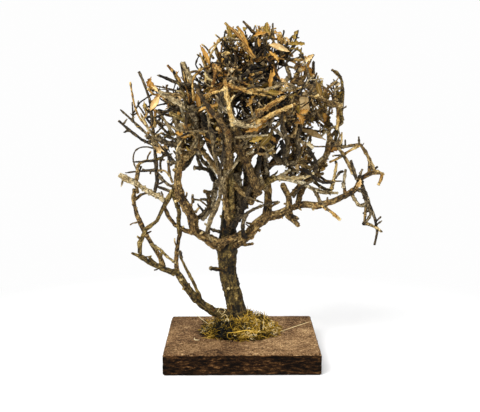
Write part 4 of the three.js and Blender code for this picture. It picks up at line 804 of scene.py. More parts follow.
# Thicker limbs that cross in the middle of the tree, drawn in the same way
STEMS = [
    (4, 2.6, BROWN, (-7, 79, 1), (-8.5, 88, -2), (-9.5, 98, -4), (-9.3, 108, -6), (-9, 118, -8),
     (-9, 127, -9), (-9.5, 137, -10)),
    (3.8, 2.4, OLIVE, (-5, 80, 1), (-5.5, 90, -3), (-6, 100, -6), (-6.2, 110, -9), (-5.8, 120, -11),
     (-6, 130, -12), (-5, 140, -12)),
    (4.2, 2.4, DARK, (-2, 82, 2), (1, 91, -1), (4, 99, -4), (8, 106, -7), (10, 114, -8), (11, 122, -9),
     (10, 132, -10)),
    (2.6, 1.7, GREY, (-10.5, 100, -9), (-11, 106, -12), (-8.5, 110.5, -14), (-4.5, 115, -15), (-1, 120, -15)),
    (3.2, 2.4, BROWN, (-10.8, 104, -11), (-13, 111, -12), (-18, 118, -13), (-23, 123.5, -13),
     (-26.5, 128, -11)),
    (2.2, 1.6, GREY, (-11.5, 108, -9), (-16, 113, -8), (-20, 119, -7), (-25, 124.5, -6)),
    (2.8, 2.2, DARK, (-16.5, 107, 5), (-18.5, 111.5, 1), (-22.5, 113.3, -3), (-28, 114, -6)),
    (2.2, 1.8, DARK, (-23, 113.3, -3), (-25, 117, -5), (-26.5, 122, -6)),
    (3.6, 2.2, DARK, (-26.5, 127, -7), (-25.8, 134, -10), (-26, 142, -12), (-27.5, 150, -12)),
    (3, 1.9, GREY, (-37, 115, -9), (-37.5, 122, -12), (-36.5, 129, -14), (-37.5, 137, -14), (-39, 145, -13)),
    (2.3, 1.9, DARK, (-51.8, 133.5, -8), (-46, 130, -10), (-40, 128, -10), (-33, 129.5, -8), (-27, 131, -7)),
    (1.8, 1.5, DARK, (-46.5, 134.3, -9), (-41.5, 131.5, -10), (-36, 130, -10)),
    (1.7, 1.3, DARK, (-47, 120, -6), (-48, 116, -7), (-47.5, 111, -8)),
    (1.8, 1.4, BROWN, (-43, 120.5, -5), (-43.3, 116, -7), (-42.6, 110, -9), (-41, 105, -9)),
    (1.9, 1.5, DARK, (-50.5, 111.5, -9), (-47, 107, -9), (-43, 103.5, -9), (-39, 102, -8)),
    (2.2, 1.6, BROWN, (-62, 99, -5), (-62.5, 105, -7), (-62, 111, -8), (-60.5, 116.5, -8), (-55, 118.5, -9)),
    (3.2, 2, DARK, (15, 103, 2), (15.5, 110, 0), (14.5, 118, -3), (15, 126, -5), (12.5, 136, -8)),
    (2.8, 1.8, BROWN, (15, 107, 2), (20, 108, -2), (28, 107.8, -6), (37, 108, -8), (43, 110.5, -9)),
    (3.2, 2, BROWN, (14.5, 114.5, 3), (20, 116.8, 0), (27, 117, -3), (33, 117, -5), (40, 114, -6),
     (46, 112.5, -6)),
    (3, 2, DARK, (24, 116.5, -2), (20, 120, -5), (17.5, 125, -7), (18.5, 130.5, -8), (22.5, 134, -9)),
    (3.4, 2.2, GREY, (25, 117, -2), (27.5, 124, -6), (27, 131, -9), (24.5, 138, -11), (25, 146, -12)),
    (3, 2, DARK, (32, 117, -5), (34, 124, -8), (33, 131, -9), (36, 139, -10)),
    (2.6, 2, BROWN, (30, 97.5, -4), (34.5, 103, -5), (39.5, 106, -4), (44.5, 109.5, 1), (48, 114, 6)),
    (2.4, 1.8, GREY, (37.5, 107.5, -7), (42, 113.5, -8), (47, 118.5, -7), (51.5, 121, -2)),
    (2.6, 1.8, DARK, (44, 111, -8), (44, 118, -9), (40.5, 125, -10), (41, 133, -10)),
    (3, 2.6, BROWN, (6.5, 94, -3), (10, 99.5, -4), (14, 104, -2)),
    (1.8, 2.4, BROWN, (-22.3, 99.5, 6), (-20, 99.2, 7), (-17.5, 98, 8)),
    (1.4, 1.8, DARK, (-24.5, 95, 5), (-21, 94.7, 5), (-18.5, 93.5, 7)),
    (2.2, 1.5, GREY, (-27, 142, -12), (-33, 148.5, -13), (-39, 152.3, -13), (-45, 154.5, -13)),
    (1.9, 1.4, BROWN, (-27.5, 145.5, -12), (-34, 150.3, -14), (-41, 152, -15)),
    (2, 1.4, GREY, (-29, 140, -11), (-34.5, 145.5, -14), (-41, 147.2, -15), (-48.5, 147, -15)),
    (1.8, 1.4, GREY, (-29.5, 137, -11), (-33.5, 143, -15), (-35.5, 150, -17)),
    (1.8, 1.2, DARK, (-28.5, 152, -12), (-34.5, 156, -13), (-39, 156.3, -14), (-44, 158.5, -14)),
    (1.7, 1.2, BROWN, (-28.5, 155, -12), (-33, 158, -14), (-38, 159.3, -15)),
    (1.7, 1.2, STRAW, (-43, 153.5, -13), (-47.5, 156.5, -13), (-52, 157.7, -13), (-55, 161, -13)),
    (2.6, 2.3, OLIVE, (-37.3, 74.3, 0), (-37.6, 81.2, -1), (-37.2, 87.3, -3), (-39, 93.1, -5),
     (-40.6, 98.1, -6), (-40.2, 103.6, -7)),
    (2.5, 2.2, DARK, (-13.2, 52.5, 5), (-16, 52.6, 3), (-19.2, 53.1, 1)),
    (2.5, 1.9, BROWN, (-19.6, 88.8, 2), (-19.4, 93.3, 4), (-20.1, 98.8, 5), (-22.5, 100, 5)),
    (3.2, 2.8, DARK, (-23.9, 82.7, 2), (-19.6, 88.1, 4), (-16.3, 95.8, 6), (-15.1, 103.5, 8),
     (-16.5, 109.5, 8), (-18.6, 115.5, 9)),
    (1.8, 1.5, OLIVE, (-48.8, 64.4, -8.6), (-46.4, 61.9, -8.4), (-44, 59.6, -8), (-41.6, 57.9, -7),
     (-39.8, 56.4, -6)),
    (1.6, 1, OLIVE, (-54.8, 58, -11), (-56.1, 60.4, -12)),
    (2.2, 1.4, OLIVE, (-48.9, 59.1, -8), (-47.6, 63.9, -9)),
    (1.9, 1.9, DARK, (-36.2, 59.5, -9), (-37, 63.6, -5)),
    (2.2, 3.3, GREY, (-72.3, 109.9, -11), (-67.1, 107.6, -10), (-61.2, 103.7, -10), (-55.3, 99.8, -9),
     (-50.3, 97.2, -8), (-46.2, 94.4, -8)),
    (1.4, 2, GREY, (-71, 106.8, -12), (-67.6, 105.8, -11), (-63.6, 104.7, -11)),
    (2.6, 2, OLIVE, (-46.1, 89.9, -9), (-45.5, 93.3, -9), (-43.9, 96.3, -8), (-41.3, 100.4, -7)),
    (1.5, 1.8, DARK, (-49.8, 102.6, -9), (-46.8, 101.5, -8), (-41.7, 99.5, -7)),
    (1.9, 1.2, DARK, (-29, 93.1, -6), (-29.1, 97.8, -9)),
    (1.6, 1.1, DARK, (-28.3, 95, -8), (-24.9, 94.5, -9)),
    (1.7, 1.2, BROWN, (-27.3, 87.2, -5), (-25.6, 89.7, -7)),
    (1.9, 2.7, STRAW, (-9.4, 165.2, -30), (-8.3, 159, -31), (-7.5, 153.1, -32), (-6.6, 147.2, -32),
     (-4.8, 142.2, -31), (-1.5, 139.8, -28)),
    (3, 2.4, GREY, (-7, 145.6, -31), (-1.5, 139.8, -30), (4, 138.6, -31), (9.9, 138.9, -33),
     (14.3, 141.1, -35)),
    (2.6, 1.9, STRAW, (8.6, 146.8, -36), (14.1, 148.7, -38), (18.3, 151.5, -40), (22.5, 154, -41),
     (25.2, 155.5, -41)),
    (2.6, 1.7, STRAW, (12.4, 141.7, -36), (18.3, 145.1, -38), (22.5, 147.1, -39), (26.8, 149.2, -40),
     (32, 151.5, -40)),
    (1.8, 2.4, STRAW, (-9.3, 164, -31), (-4.4, 162.1, -33), (0.6, 160.5, -34), (5.7, 158.4, -34)),
    (2, 1.6, STRAW, (5.3, 159.6, -33), (11.6, 159.8, -32), (15.8, 158.7, -31), (20, 157.1, -30)),
    (1.9, 1.4, STRAW, (-10.3, 163.6, -30), (-13.7, 160.7, -28), (-18.7, 158.2, -26), (-22.9, 155.7, -24)),
    (1.2, 2, BROWN, (1.3, 199.7, -6), (3.9, 196.7, -6), (6.7, 193.8, -5), (10.3, 191.1, -4)),
    (1.6, 2.6, STRAW, (-1.4, 195.6, -16), (0.6, 190.5, -17), (2, 185.5, -18), (4.9, 181.4, -18),
     (7.8, 178.7, -18)),
    (1.4, 2.2, STRAW, (-9.3, 198.9, -14), (-7.1, 196.3, -14), (-4.3, 194.5, -15), (-1.1, 191.2, -16),
     (0.7, 188, -16)),
    (1, 1.8, DARK, (18.7, 198.5, -6), (18.5, 194.6, -6), (18.4, 190.9, -6)),
    (1.4, 2.8, BROWN, (42.6, 180.3, -2), (39.7, 175.5, -4), (38.4, 171.8, -6), (37.2, 167.2, -8)),
    (2, 1.2, STRAW, (31.3, 177, -5), (36.7, 177.6, -4), (41.7, 180, -3)),
    (3.4, 2.6, BROWN, (31.7, 164.7, -14), (36.8, 163, -15), (42.7, 159.7, -14), (48.6, 154, -11),
     (54.6, 151.3, -7), (58.8, 150.4, -3)),
    (2.8, 2.8, GREY, (6.3, 176.4, -12), (6.3, 168.9, -13), (5.7, 162.7, -14)),
    (1.5, 1.9, STRAW, (56.7, 149.1, -4), (57.3, 142.8, -4), (56.6, 136.5, -4)),
    (1.3, 2.4, OLIVE, (53.1, 171.3, 2), (56.1, 170.1, 2), (58.5, 167.1, 3), (59.5, 163, 3), (59.2, 157.1, 4),
     (58.8, 147, 4), (59.9, 141.6, 4)),
    (2.2, 2.8, GREY, (26.7, 173, -8), (28.4, 168.1, -10), (25.9, 164.7, -12), (21.7, 162.7, -13)),
    (1.6, 1, STRAW, (20.8, 189.2, -8), (22.6, 192.5, -9)),
    (1.8, 1.2, STRAW, (23.7, 186.7, -8), (23.4, 192.7, -9)),
    (2.4, 1.3, STRAW, (9.9, 177.1, -16), (14.1, 179.7, -17), (18.1, 180.7, -17)),
    (2, 1.5, GREY, (23.2, 164.2, -13.2), (24.2, 164.7, -16), (28.4, 161.4, -17), (31.8, 158.9, -17)),
    (2.2, 2.6, DARK, (70.4, 109.1, -9), (72, 103.3, -10), (73.7, 97.4, -11), (74.9, 93.2, -12)),
    (1.5, 2.2, DARK, (65.3, 118.1, -10), (66.9, 112.4, -11), (68.6, 106.6, -11)),
    (1.3, 1.7, DARK, (72.2, 112.8, -9), (70.8, 109.8, -9)),
    (1.4, 2, DARK, (62.2, 112.6, -8), (61.3, 106.6, -9), (60.7, 101.6, -10)),
    (1.4, 2, BROWN, (51.1, 133.8, -2), (56.1, 127.4, -5), (61.2, 120.7, -7), (64.5, 114.9, -8),
     (66.4, 109.8, -9)),
    (1.4, 1.6, GREY, (57.4, 125.7, 2), (63.6, 126.4, -2), (70.8, 127.6, -5)),
    (0.9, 1.2, DARK, (61.7, 130.3, -2), (61.8, 126.4, -1)),
    (1, 1.4, DARK, (69.6, 132.1, -6), (70, 127.7, -5)),
    (1.6, 2, BROWN, (70.8, 127.6, -5), (75, 120.7, -6), (77.2, 116.5, -7), (79.1, 112.4, -8)),
    (1.4, 1.8, STRAW, (52.5, 117, -3), (57.9, 119.4, -4), (63.6, 123.2, -5), (70.6, 127, -5)),
    (2.2, 1.3, BROWN, (78.3, 112.4, -8), (82, 110.9, -8), (85.1, 109.6, -8)),
    (1.6, 1.9, STRAW, (84, 109.7, -8), (83.3, 106.6, -8), (81.7, 103.1, -8)),
    (1.8, 1.6, DARK, (79.1, 112.6, -8), (81.2, 114.2, -8)),
    (2.2, 1.7, GREY, (66.1, 97.6, -9), (68.1, 93.9, -9), (70.6, 90.9, -10), (74, 90.5, -11)),
    (1.8, 2, STRAW, (48, 90.8, -14), (51.5, 88.6, -16), (54.9, 86.1, -18), (59.3, 82.2, -19)),
    (1.5, 2.2, STRAW, (56.7, 116.4, -5), (56, 111.6, -5), (54.9, 105.8, -4), (53.6, 100.3, -4)),
    (2, 1.6, OLIVE, (43.6, 105.2, -5), (48.1, 101.7, -5), (53.9, 99.8, -5)),
    (2.2, 1.5, GREY, (44.8, 100, -6), (50.8, 98.6, -6), (57.6, 98.5, -6)),
    (2.4, 2.2, GREY, (27.4, 107.1, -5), (35.7, 105, -6), (41.5, 101.7, -6), (46.5, 99, -6)),
    (2.4, 1.5, DARK, (36.9, 112.9, -9), (41.4, 110, -9), (45.6, 106.5, -8), (49.7, 104.8, -7),
     (55.4, 105, -7)),
    (1.8, 2.2, BROWN, (42.3, 101.7, -6), (45.7, 96.5, -7), (47, 92.3, -9)),
    (2.2, 1.3, DARK, (30.1, 85, -5), (32.4, 84.1, -6), (34.3, 82.8, -7)),
    (2.4, 1.5, BROWN, (30.8, 82.5, -5), (32.9, 80.4, -6), (34.8, 78.4, -6)),
    (1.6, 1.9, OLIVE, (56.8, 147.9, 3), (57.6, 143, 3), (56.6, 135.6, 2), (55.6, 128.8, 1)),
    (0.9, 1.3, DARK, (51.5, 96, -10), (51.3, 93.5, -10)),
    (1.7, 1.2, DARK, (60.6, 111.4, -6.8), (58.5, 110.8, -7), (56.2, 107.3, -8)),
    (1.6, 1.3, BROWN, (74.4, 89.9, -13), (74, 84.8, -14), (73.7, 80.2, -14)),
    (1.8, 1.5, DARK, (75.6, 89.9, -12), (77.4, 86.1, -13), (75.7, 82.3, -14), (73.7, 80.2, -14)),
    (1.9, 1.3, BROWN, (73.7, 80.2, -14), (77, 79.4, -13), (81.2, 77.2, -12), (84.2, 74.9, -12)),
    (2, 2.6, DARK, (73, 79.3, -14), (73.8, 80.5, -14)),
    (5, 3.4, OLIVE, (-8.2, 73.3, 3), (-5.6, 80.3, 3), (-1.3, 87.2, 3), (3.9, 94, 2), (9, 100, 0),
     (14.1, 104.3, -2), (20.1, 107.7, -4)),
    (4.8, 3.9, BROWN, (10.3, 98.3, -5), (7.5, 105.2, -9), (4.8, 112.9, -13), (2.2, 120.6, -17),
     (-0.7, 127.4, -22), (-2.8, 132.5, -26), (-4.5, 137.5, -30)),
    (5.6, 4, DARK, (-5.6, 78.5, 0), (-2.1, 87.2, 1), (-0.4, 94.9, 1), (-1.6, 102.6, 0), (-2.9, 110.4, -1)),
    (3.8, 2.8, BROWN, (6.4, 92.3, -1), (2.2, 97.5, -3), (-2.5, 101.8, -4), (-5.5, 106.1, -4)),
    (2.6, 2.2, DARK, (1.1, 74.2, -4), (0.9, 78.5, -5), (1.3, 82, -6), (3.4, 85.8, -6)),
    (1.9, 1.8, DARK, (-3.4, 82, -5), (2.2, 85.8, -6), (7.3, 88.9, -6), (13.3, 91.2, -6)),
    (1.7, 1.2, DARK, (13.3, 91.2, -6), (17.6, 92.7, -6), (22, 93.3, -6)),
    (1.9, 3, STRAW, (-9.4, 165.6, -48), (-8.6, 156.9, -48), (-7.6, 151.4, -48), (-6.5, 145.9, -47),
     (-5.1, 142.4, -46)),
    (3.2, 2.8, GREY, (-5.7, 143.7, -46), (-3.7, 141, -46), (1.7, 139.4, -45), (7.2, 139.1, -45),
     (11.5, 141.1, -45)),
    (2.5, 2.2, BROWN, (2.1, 139.6, -45), (7.2, 142.6, -45), (10.4, 145.1, -46), (12.7, 147.6, -46)),
    (2.2, 1.4, STRAW, (12.1, 147.2, -46), (17.4, 150.9, -46), (22.9, 154.4, -46), (26.1, 156.2, -45)),
    (2.6, 1.6, STRAW, (7.2, 139, -45), (13.5, 142.7, -46), (18.6, 145.7, -46), (24.5, 148.3, -46),
     (30.2, 150.6, -45)),
    (1.4, 1, STRAW, (-7.3, 150.8, -47), (-5.7, 154.4, -47), (-3.9, 156.7, -47)),
    (2.3, 1.4, STRAW, (-8.1, 162.5, -48), (-1.4, 160.6, -47), (2.1, 159.4, -46), (6.3, 158, -45)),
    (2.2, 3.7, BROWN, (-27.3, 163.3, -40), (-25, 158.7, -45), (-21.1, 152.5, -47), (-16.4, 146.2, -48),
     (-11.7, 140.7, -47), (-8.2, 134.9, -40), (-7.5, 127.8, -33), (-7.4, 120.7, -24), (-7.2, 114.3, -15)),
    (3, 3.6, DARK, (-23.5, 139.7, -18), (-20.4, 135.7, -18), (-16.5, 127.2, -16), (-11.8, 120.7, -13),
     (-9.5, 116.7, -11)),
    (1.5, 1.1, GREY, (-3.2, 132, -36), (2.5, 132.3, -37), (8.8, 132.9, -38), (15.7, 133.3, -38)),
    (1.8, 1.5, DARK, (15.1, 141, -38), (18.7, 137.3, -38), (23, 134, -36), (25.2, 131.6, -34)),
    (1.4, 1.2, DARK, (23.9, 142.3, -36), (24.2, 137.2, -36), (26.3, 132.8, -35)),
    (1.3, 1.1, DARK, (14.9, 133.7, -38), (17.3, 139.4, -39), (18.6, 142.1, -39)),
    (2.8, 3.2, DARK, (15.1, 131.7, -14), (16.8, 124.9, -14), (21.5, 119.1, -12), (26.8, 116.6, -10)),
    (2.6, 3, DARK, (23.8, 129.7, -18), (25.1, 124.5, -16), (26.2, 117.4, -12)),
    (3.6, 4.6, BROWN, (-4.2, 137.3, -24), (-3.7, 130.9, -20), (-0.7, 124.6, -14), (2, 118.2, -9)),
    (1.7, 1.3, GREY, (26.1, 163.8, -38), (22.9, 162.3, -39), (18.2, 161.1, -40), (13.5, 159.9, -40)),
    (1.6, 1.2, GREY, (30.8, 161.5, -36), (29.2, 159.9, -37), (26.9, 160.3, -38), (23.7, 159.3, -38)),
    (2.2, 1.6, DARK, (-14, 154.6, -40), (-10.1, 148.3, -41), (-6.2, 145.9, -41)),
    (2.6, 3.8, GREY, (-48.3, 158.9, -22), (-43, 156, -22), (-37.6, 152.6, -21), (-33.3, 150.1, -20),
     (-28.6, 146.2, -18)),
    (4, 4.6, DARK, (-28.6, 150.5, -22), (-27.5, 143, -20), (-26.6, 135.2, -16), (-25.2, 128.8, -12),
     (-24, 123.3, -9)),
    (2, 2.8, OLIVE, (-42, 146.6, -18), (-36.9, 143.8, -18), (-32.2, 139.9, -17), (-29.1, 134.8, -15),
     (-26.4, 130, -12)),
    (1.3, 1.8, GREY, (-49.1, 147.2, -16), (-44.4, 141.1, -16), (-41.9, 136.8, -15), (-39.8, 132.8, -14)),
    (1.6, 2.2, DARK, (-48.4, 168.5, -20), (-41.8, 165.8, -20), (-36.7, 163.9, -19), (-30.8, 162.9, -18)),
    (1.5, 1.8, STRAW, (-43.1, 174.3, -18), (-39.6, 170.3, -18), (-36.1, 165.6, -18)),
    (2.8, 2.4, GREY, (-34.2, 175.8, -18), (-32.5, 172.6, -18), (-30.4, 168.2, -18), (-28.7, 164.5, -18)),
    (1.6, 1.2, STRAW, (-28, 153.6, -26), (-28.4, 161.4, -26), (-28, 166.5, -25), (-25.5, 169.6, -24),
     (-21.9, 172.8, -22)),
    (2, 1.5, BROWN, (-44.2, 158.7, -22), (-39.9, 157, -22), (-35.8, 157, -22), (-32.1, 154, -21)),
    (1.6, 2, DARK, (-43.8, 158, -20), (-39.1, 154, -20), (-34.1, 151.3, -20)),
    (1.8, 1.4, STRAW, (-21.2, 155.2, -40), (-17.1, 157.9, -45), (-12, 159.3, -47), (-8.1, 160.7, -48)),
    (2.4, 1.8, STRAW, (-19.3, 157, -38), (-19.8, 151.6, -38), (-18.9, 146.9, -37), (-17.2, 143.6, -36)),
    (2, 1.5, STRAW, (-16.2, 175, -34), (-15.3, 170.3, -35), (-15.8, 165.7, -36), (-17.1, 161.8, -36)),
    (4, 4.2, BROWN, (-38, 114.6, -8), (-34.2, 119.2, -9), (-30, 123.3, -10), (-26.4, 127.7, -11)),
    (3.2, 4, DARK, (-23.5, 146.2, -20), (-20.4, 140.7, -19), (-16.5, 134.7, -17), (-11.8, 127.2, -14),
     (-8.3, 120.7, -12)),
    (1.8, 1.5, STRAW, (-50.7, 148.4, -14), (-50.6, 143.1, -13), (-51, 138, -12)),
    (2.4, 2.8, GREY, (-38.5, 139.9, -15), (-34.6, 136.8, -15), (-29.9, 133.6, -14)),
    (2.6, 3, DARK, (-50.5, 131.3, -12), (-45.7, 129.5, -12), (-41, 128.1, -12), (-36.3, 127.3, -11)),
    (1.6, 1.3, OLIVE, (-21, 170, -30), (-19.4, 166.5, -31), (-14.7, 164.1, -32)),
    (4.6, 3.8, BROWN, (-15.5, 69.2, 0.6), (-11.8, 69, -0.4), (-7.2, 70.6, -0.6), (-2.6, 72.6, 0.2),
     (2.4, 75.4, 1.6)),
]

# Where the crown is thick with twigs: middle and half sizes as seen, then how many sprout there
THICKETS = [
    ((6, 172), (30, 22), 225),
    ((6, 146), (34, 24), 200),
    ((30, 128), (20, 20), 76),
    ((-40, 148), (18, 22), 18),
    ((48, 144), (14, 24), 27),
    ((-14, 122), (22, 18), 50),
    ((10, 116), (18, 14), 40),
    ((40, 112), (20, 10), 18),
    ((68, 112), (14, 16), 10),
    ((-56, 118), (14, 18), 6),
]

# Gaps that light shows through: middle and half sizes as seen
GAPS = [
    ((-25, 108.5), (10, 13)), ((-13.5, 87.5), (3.6, 9.5)), ((-53, 90.5), (5, 6.5)), ((-43.5, 138.5), (7, 6)),
    ((-19, 128), (3, 5)), ((20.5, 138), (4, 4.5)), ((26.5, 167.5), (3.5, 7.5)), ((24, 124), (3.6, 6)),
    ((23.5, 94.5), (3.6, 7.5)), ((5, 86), (4, 8)), ((38, 76), (30, 13)), ((-20, 70), (7, 9)),
    ((47, 123), (3, 6)), ((54, 145.5), (2.6, 4)), ((18.3, 117.5), (3, 4)), ((52, 132.8), (3, 4)),
    ((48.7, 151.5), (3, 2.2)), ((31, 162.8), (2.4, 4.4)),
]
CROWN_MIDDLE = (4, 148, 2)
CROWN_HALF = (67, 53, 48)

# Painted shade in the crown, deep inside it and under its top, at the trunk's fork and on the leader above
# it:
# middle, half sizes, how far out it reaches, how fast it fades, and the deepest shade
PAINTED_SHADE_CORES = [
    (CROWN_MIDDLE, CROWN_HALF, 0.72, 0.8, 0.5),
    ((8, 174, -6), (32, 24, 44), 0.9, 0.6, 0.24),
    ((-6.5, 78.5, 2), (6.5, 6.5, 9), 1.0, 0.6, 0.3),
    ((-6, 93, 3), (6, 18, 9), 1.0, 0.5, 0.1),
]

# The ragged outline of the crown, as seen from the front
OUTLINE = [
    (-12, 123), (-22, 127), (-33, 122), (-46, 108), (-60, 110), (-72, 142), (-66, 163), (-56, 169),
    (-46, 166), (-38, 172), (-24, 172), (-16, 177), (-14, 190), (-10, 198), (-4, 199), (14, 198.5), (30, 194),
    (38, 187), (42, 173), (47, 168), (58, 170), (59, 142), (60, 131), (72, 122), (74, 110), (50, 103),
    (26, 107), (12, 122),
]
# One stub on about this much bark, in square metres
STUB_SPACING = 60e-6
# No stub ends lower than this many millimetres above the floor
STUBS_FROM = 40
# How often a twig's place is tried
TWIG_TRIES = 14
# A thicket's twigs start from seats up to this share of the way from its middle to its rim
THICKET_REACH = 1.15
CHIPS = 1100
# Left of this place as seen, chips and leaf bits thin out over this many millimetres to this share
CROWDED_LEFT = -14
LEFT_FADE = 16
LEFT_CROWDING = 0.22
# The kinds' shares among the twigs, and among the chips in the same order
KINDS = {DARK: 0.3, BROWN: 0.3, GREY: 0.19, STRAW: 0.14, OLIVE: 0.07}
CHIP_KINDS = (0.22, 0.26, 0.24, 0.22, 0.06)
# Each kind has a mesh for each of these that it has twigs of
PARTS = ("stems", "inner", "outer", "stubs", "chips")
# Twigs whose tips are further than this from the crown's middle, in metres, are outer ones
OUTER_FROM = 0.036
# Wood counts as at most this thick, in metres, when the room round it is measured
THICKEST = 0.006
# Edges of a limb's solid longer than this also count as wood, at points this far apart of this radius
LONG_EDGE = 0.003
EDGE_STEP = 0.002
EDGE_RADIUS = 0.0004
# New points of wood are searched one by one until there are more than this many, and only this near, in
# square metres
FRESH_LIMIT = 600
FRESH_REACH_SQUARED = 0.0001
# A drawn twig that touches nothing is led on to wood that is no further from its end than this
ROOT_REACH = 0.014
# How much paler the drawn limbs are than what sprouts round them, and the drawn twigs
STEM_LIFT = {DARK: 0.06, BROWN: 0.08, GREY: 0.08, STRAW: -0.04, OLIVE: 0.08}
DRAWN_LIFT = 0.08
# Drawn limbs nearer than this, in metres, are seen whole
FRONT = -0.018
# Nothing sprouts in front of such a limb or a leaf where it is seen within this many millimetres of it
SHOWPIECE_MARGIN = 2.2
# The bare straw limbs at the very front, this deep as drawn, are painted paler by this much, as painted light
# against the shade of the twigs round them
FRONT_EDGE = -44
PAINTED_FRONT_LIGHT = 0.06


class Space:
    """Points along all the wood, to keep new twigs from running through it."""

    def __init__(self):
        self.points, self.radii, self.fresh = [], [], []
        self.tree = None

    def add(self, points, radii):
        self.fresh.extend((tuple(p), r) for p, r in zip(points, radii))
        if len(self.fresh) > FRESH_LIMIT:
            self.settle()

    def settle(self):
        self.points.extend(p for p, _ in self.fresh)
        self.radii.extend(r for _, r in self.fresh)
        self.fresh = []
        self.tree = tree_of(self.points)

    def room(self, point, radius):
        """The clear space round a point, below zero where wood is in the way."""
        best = 1.0
        for _, index, distance in self.tree.find_range(point, radius + THICKEST):
            best = min(best, distance - radius - self.radii[index])
        for other, width in self.fresh:
            dx, dy, dz = point[0] - other[0], point[1] - other[1], point[2] - other[2]
            squared = dx * dx + dy * dy + dz * dz
            if squared < FRESH_REACH_SQUARED:
                best = min(best, math.sqrt(squared) - radius - width)
        return best

    def holds(self, line, wide, tip):
        """Whether any of the wood touches a line of this width."""
        widths = [wide + (tip - wide) * index / (len(line) - 1) for index in range(len(line))]
        return any(self.room(point, width / 2) < 0 for point, width in zip(line, widths))

    def root(self, end, heading):
        """The wood that a twig's end would best lead on to: near, and straight ahead."""
        near = [Vector(spot) for spot, _, _ in self.tree.find_range(end, ROOT_REACH)]
        near.extend(Vector(spot) for spot, _ in self.fresh if (Vector(spot) - end).length < ROOT_REACH)

        def cost(spot):
            return (spot - end).length * (1.6 - (spot - end).normalized().dot(heading))
        return min(near, key=cost, default=None)


def encloses(outline, right, height):
    """Whether a drawn outline holds a point, by counting the edges to its right."""
    inside = False
    for (x0, z0), (x1, z1) in zip(outline, outline[1:] + outline[:1]):
        if (z0 > height) != (z1 > height) and right < x0 + (x1 - x0) * (height - z0) / (z1 - z0):
            inside = not inside
    return inside


def ellipse_share(seen, middle, half):
    """How far out of an ellipse's middle a point is seen, as a share of the way to its rim."""
    return math.hypot((seen[0] - middle[0]) / half[0], (seen[1] - middle[1]) / half[1])


def crown_share(point):
    """How far out a point lies, from 0 in the middle of the crown to 1 at its skin."""
    middle = place(*CROWN_MIDDLE)
    return math.sqrt(sum(((point[k] - middle[k]) / (CROWN_HALF[(0, 2, 1)[k]] * MM)) ** 2 for k in range(3)))


def inside_crown(point):
    if crown_share(point) > 1:
        return False
    seen = seen_at(point)
    in_gap = any(ellipse_share(seen, middle, half) < 1 for middle, half in GAPS)
    return encloses(OUTLINE, *seen) and not in_gap


def crowding(point):
    """How thickly chips and leaf bits lie at a place: fully in the middle of the crown, less at its left."""
    return max(LEFT_CROWDING, min(1.0, 1 + (seen_at(point)[0] - CROWDED_LEFT) / LEFT_FADE))


class Showpieces:
    """The leaves and pale twigs that are seen in front of the crown: what sprouts keeps out of their way."""

    def __init__(self):
        nodes = [*(leaf for row in LEAVES.values() for leaf in row), "straw_antler"]
        points = [vertex.co.copy() for node in nodes for vertex in frame["nodes"][node].data.vertices]
        for _, _, _, *route in STEMS:
            line = curve_through([place(*spot) for spot in route], 0.0015)
            points.extend(point for point in line if point.y < FRONT)
        self.depths = [point.y for point in points]
        self.tree = tree_of([(*seen_at(point), 0.0) for point in points])

    def hides(self, point):
        near = self.tree.find_range((*seen_at(point), 0.0), SHOWPIECE_MARGIN)
        return any(self.depths[index] > point[1] for _, index, _ in near)


def twig_route(start, heading, length, rng, bend=0.55, step=0.0045):
    """A zigzag walk that leans outwards and upwards."""
    points = [Vector(start)]
    heading = heading.normalized()
    curl = gauss_vector(rng) * 0.07
    while length > 0:
        here = min(step * rng.uniform(0.7, 1.3), length)
        points.append(points[-1] + heading * here)
        length -= here
        jolt = gauss_vector(rng)
        jolt -= heading * jolt.dot(heading)
        heading = (heading + jolt * bend * 0.5 + curl + UP * 0.06).normalized()
    return points


def rooted(route, wide, tip, space):
    """A drawn twig's points. One that would float is led on from its thick end, or else from its thin one."""
    points = [place(*point) for point in route]
    if space.holds(curve_through(points, MM), wide, tip):
        return points
    for from_start in (wide >= tip, wide < tip):
        end, before = (points[0], points[1]) if from_start else (points[-1], points[-2])
        root = space.root(end, (end - before).normalized())
        if root:
            return [root, *points] if from_start else [*points, root]
    return points


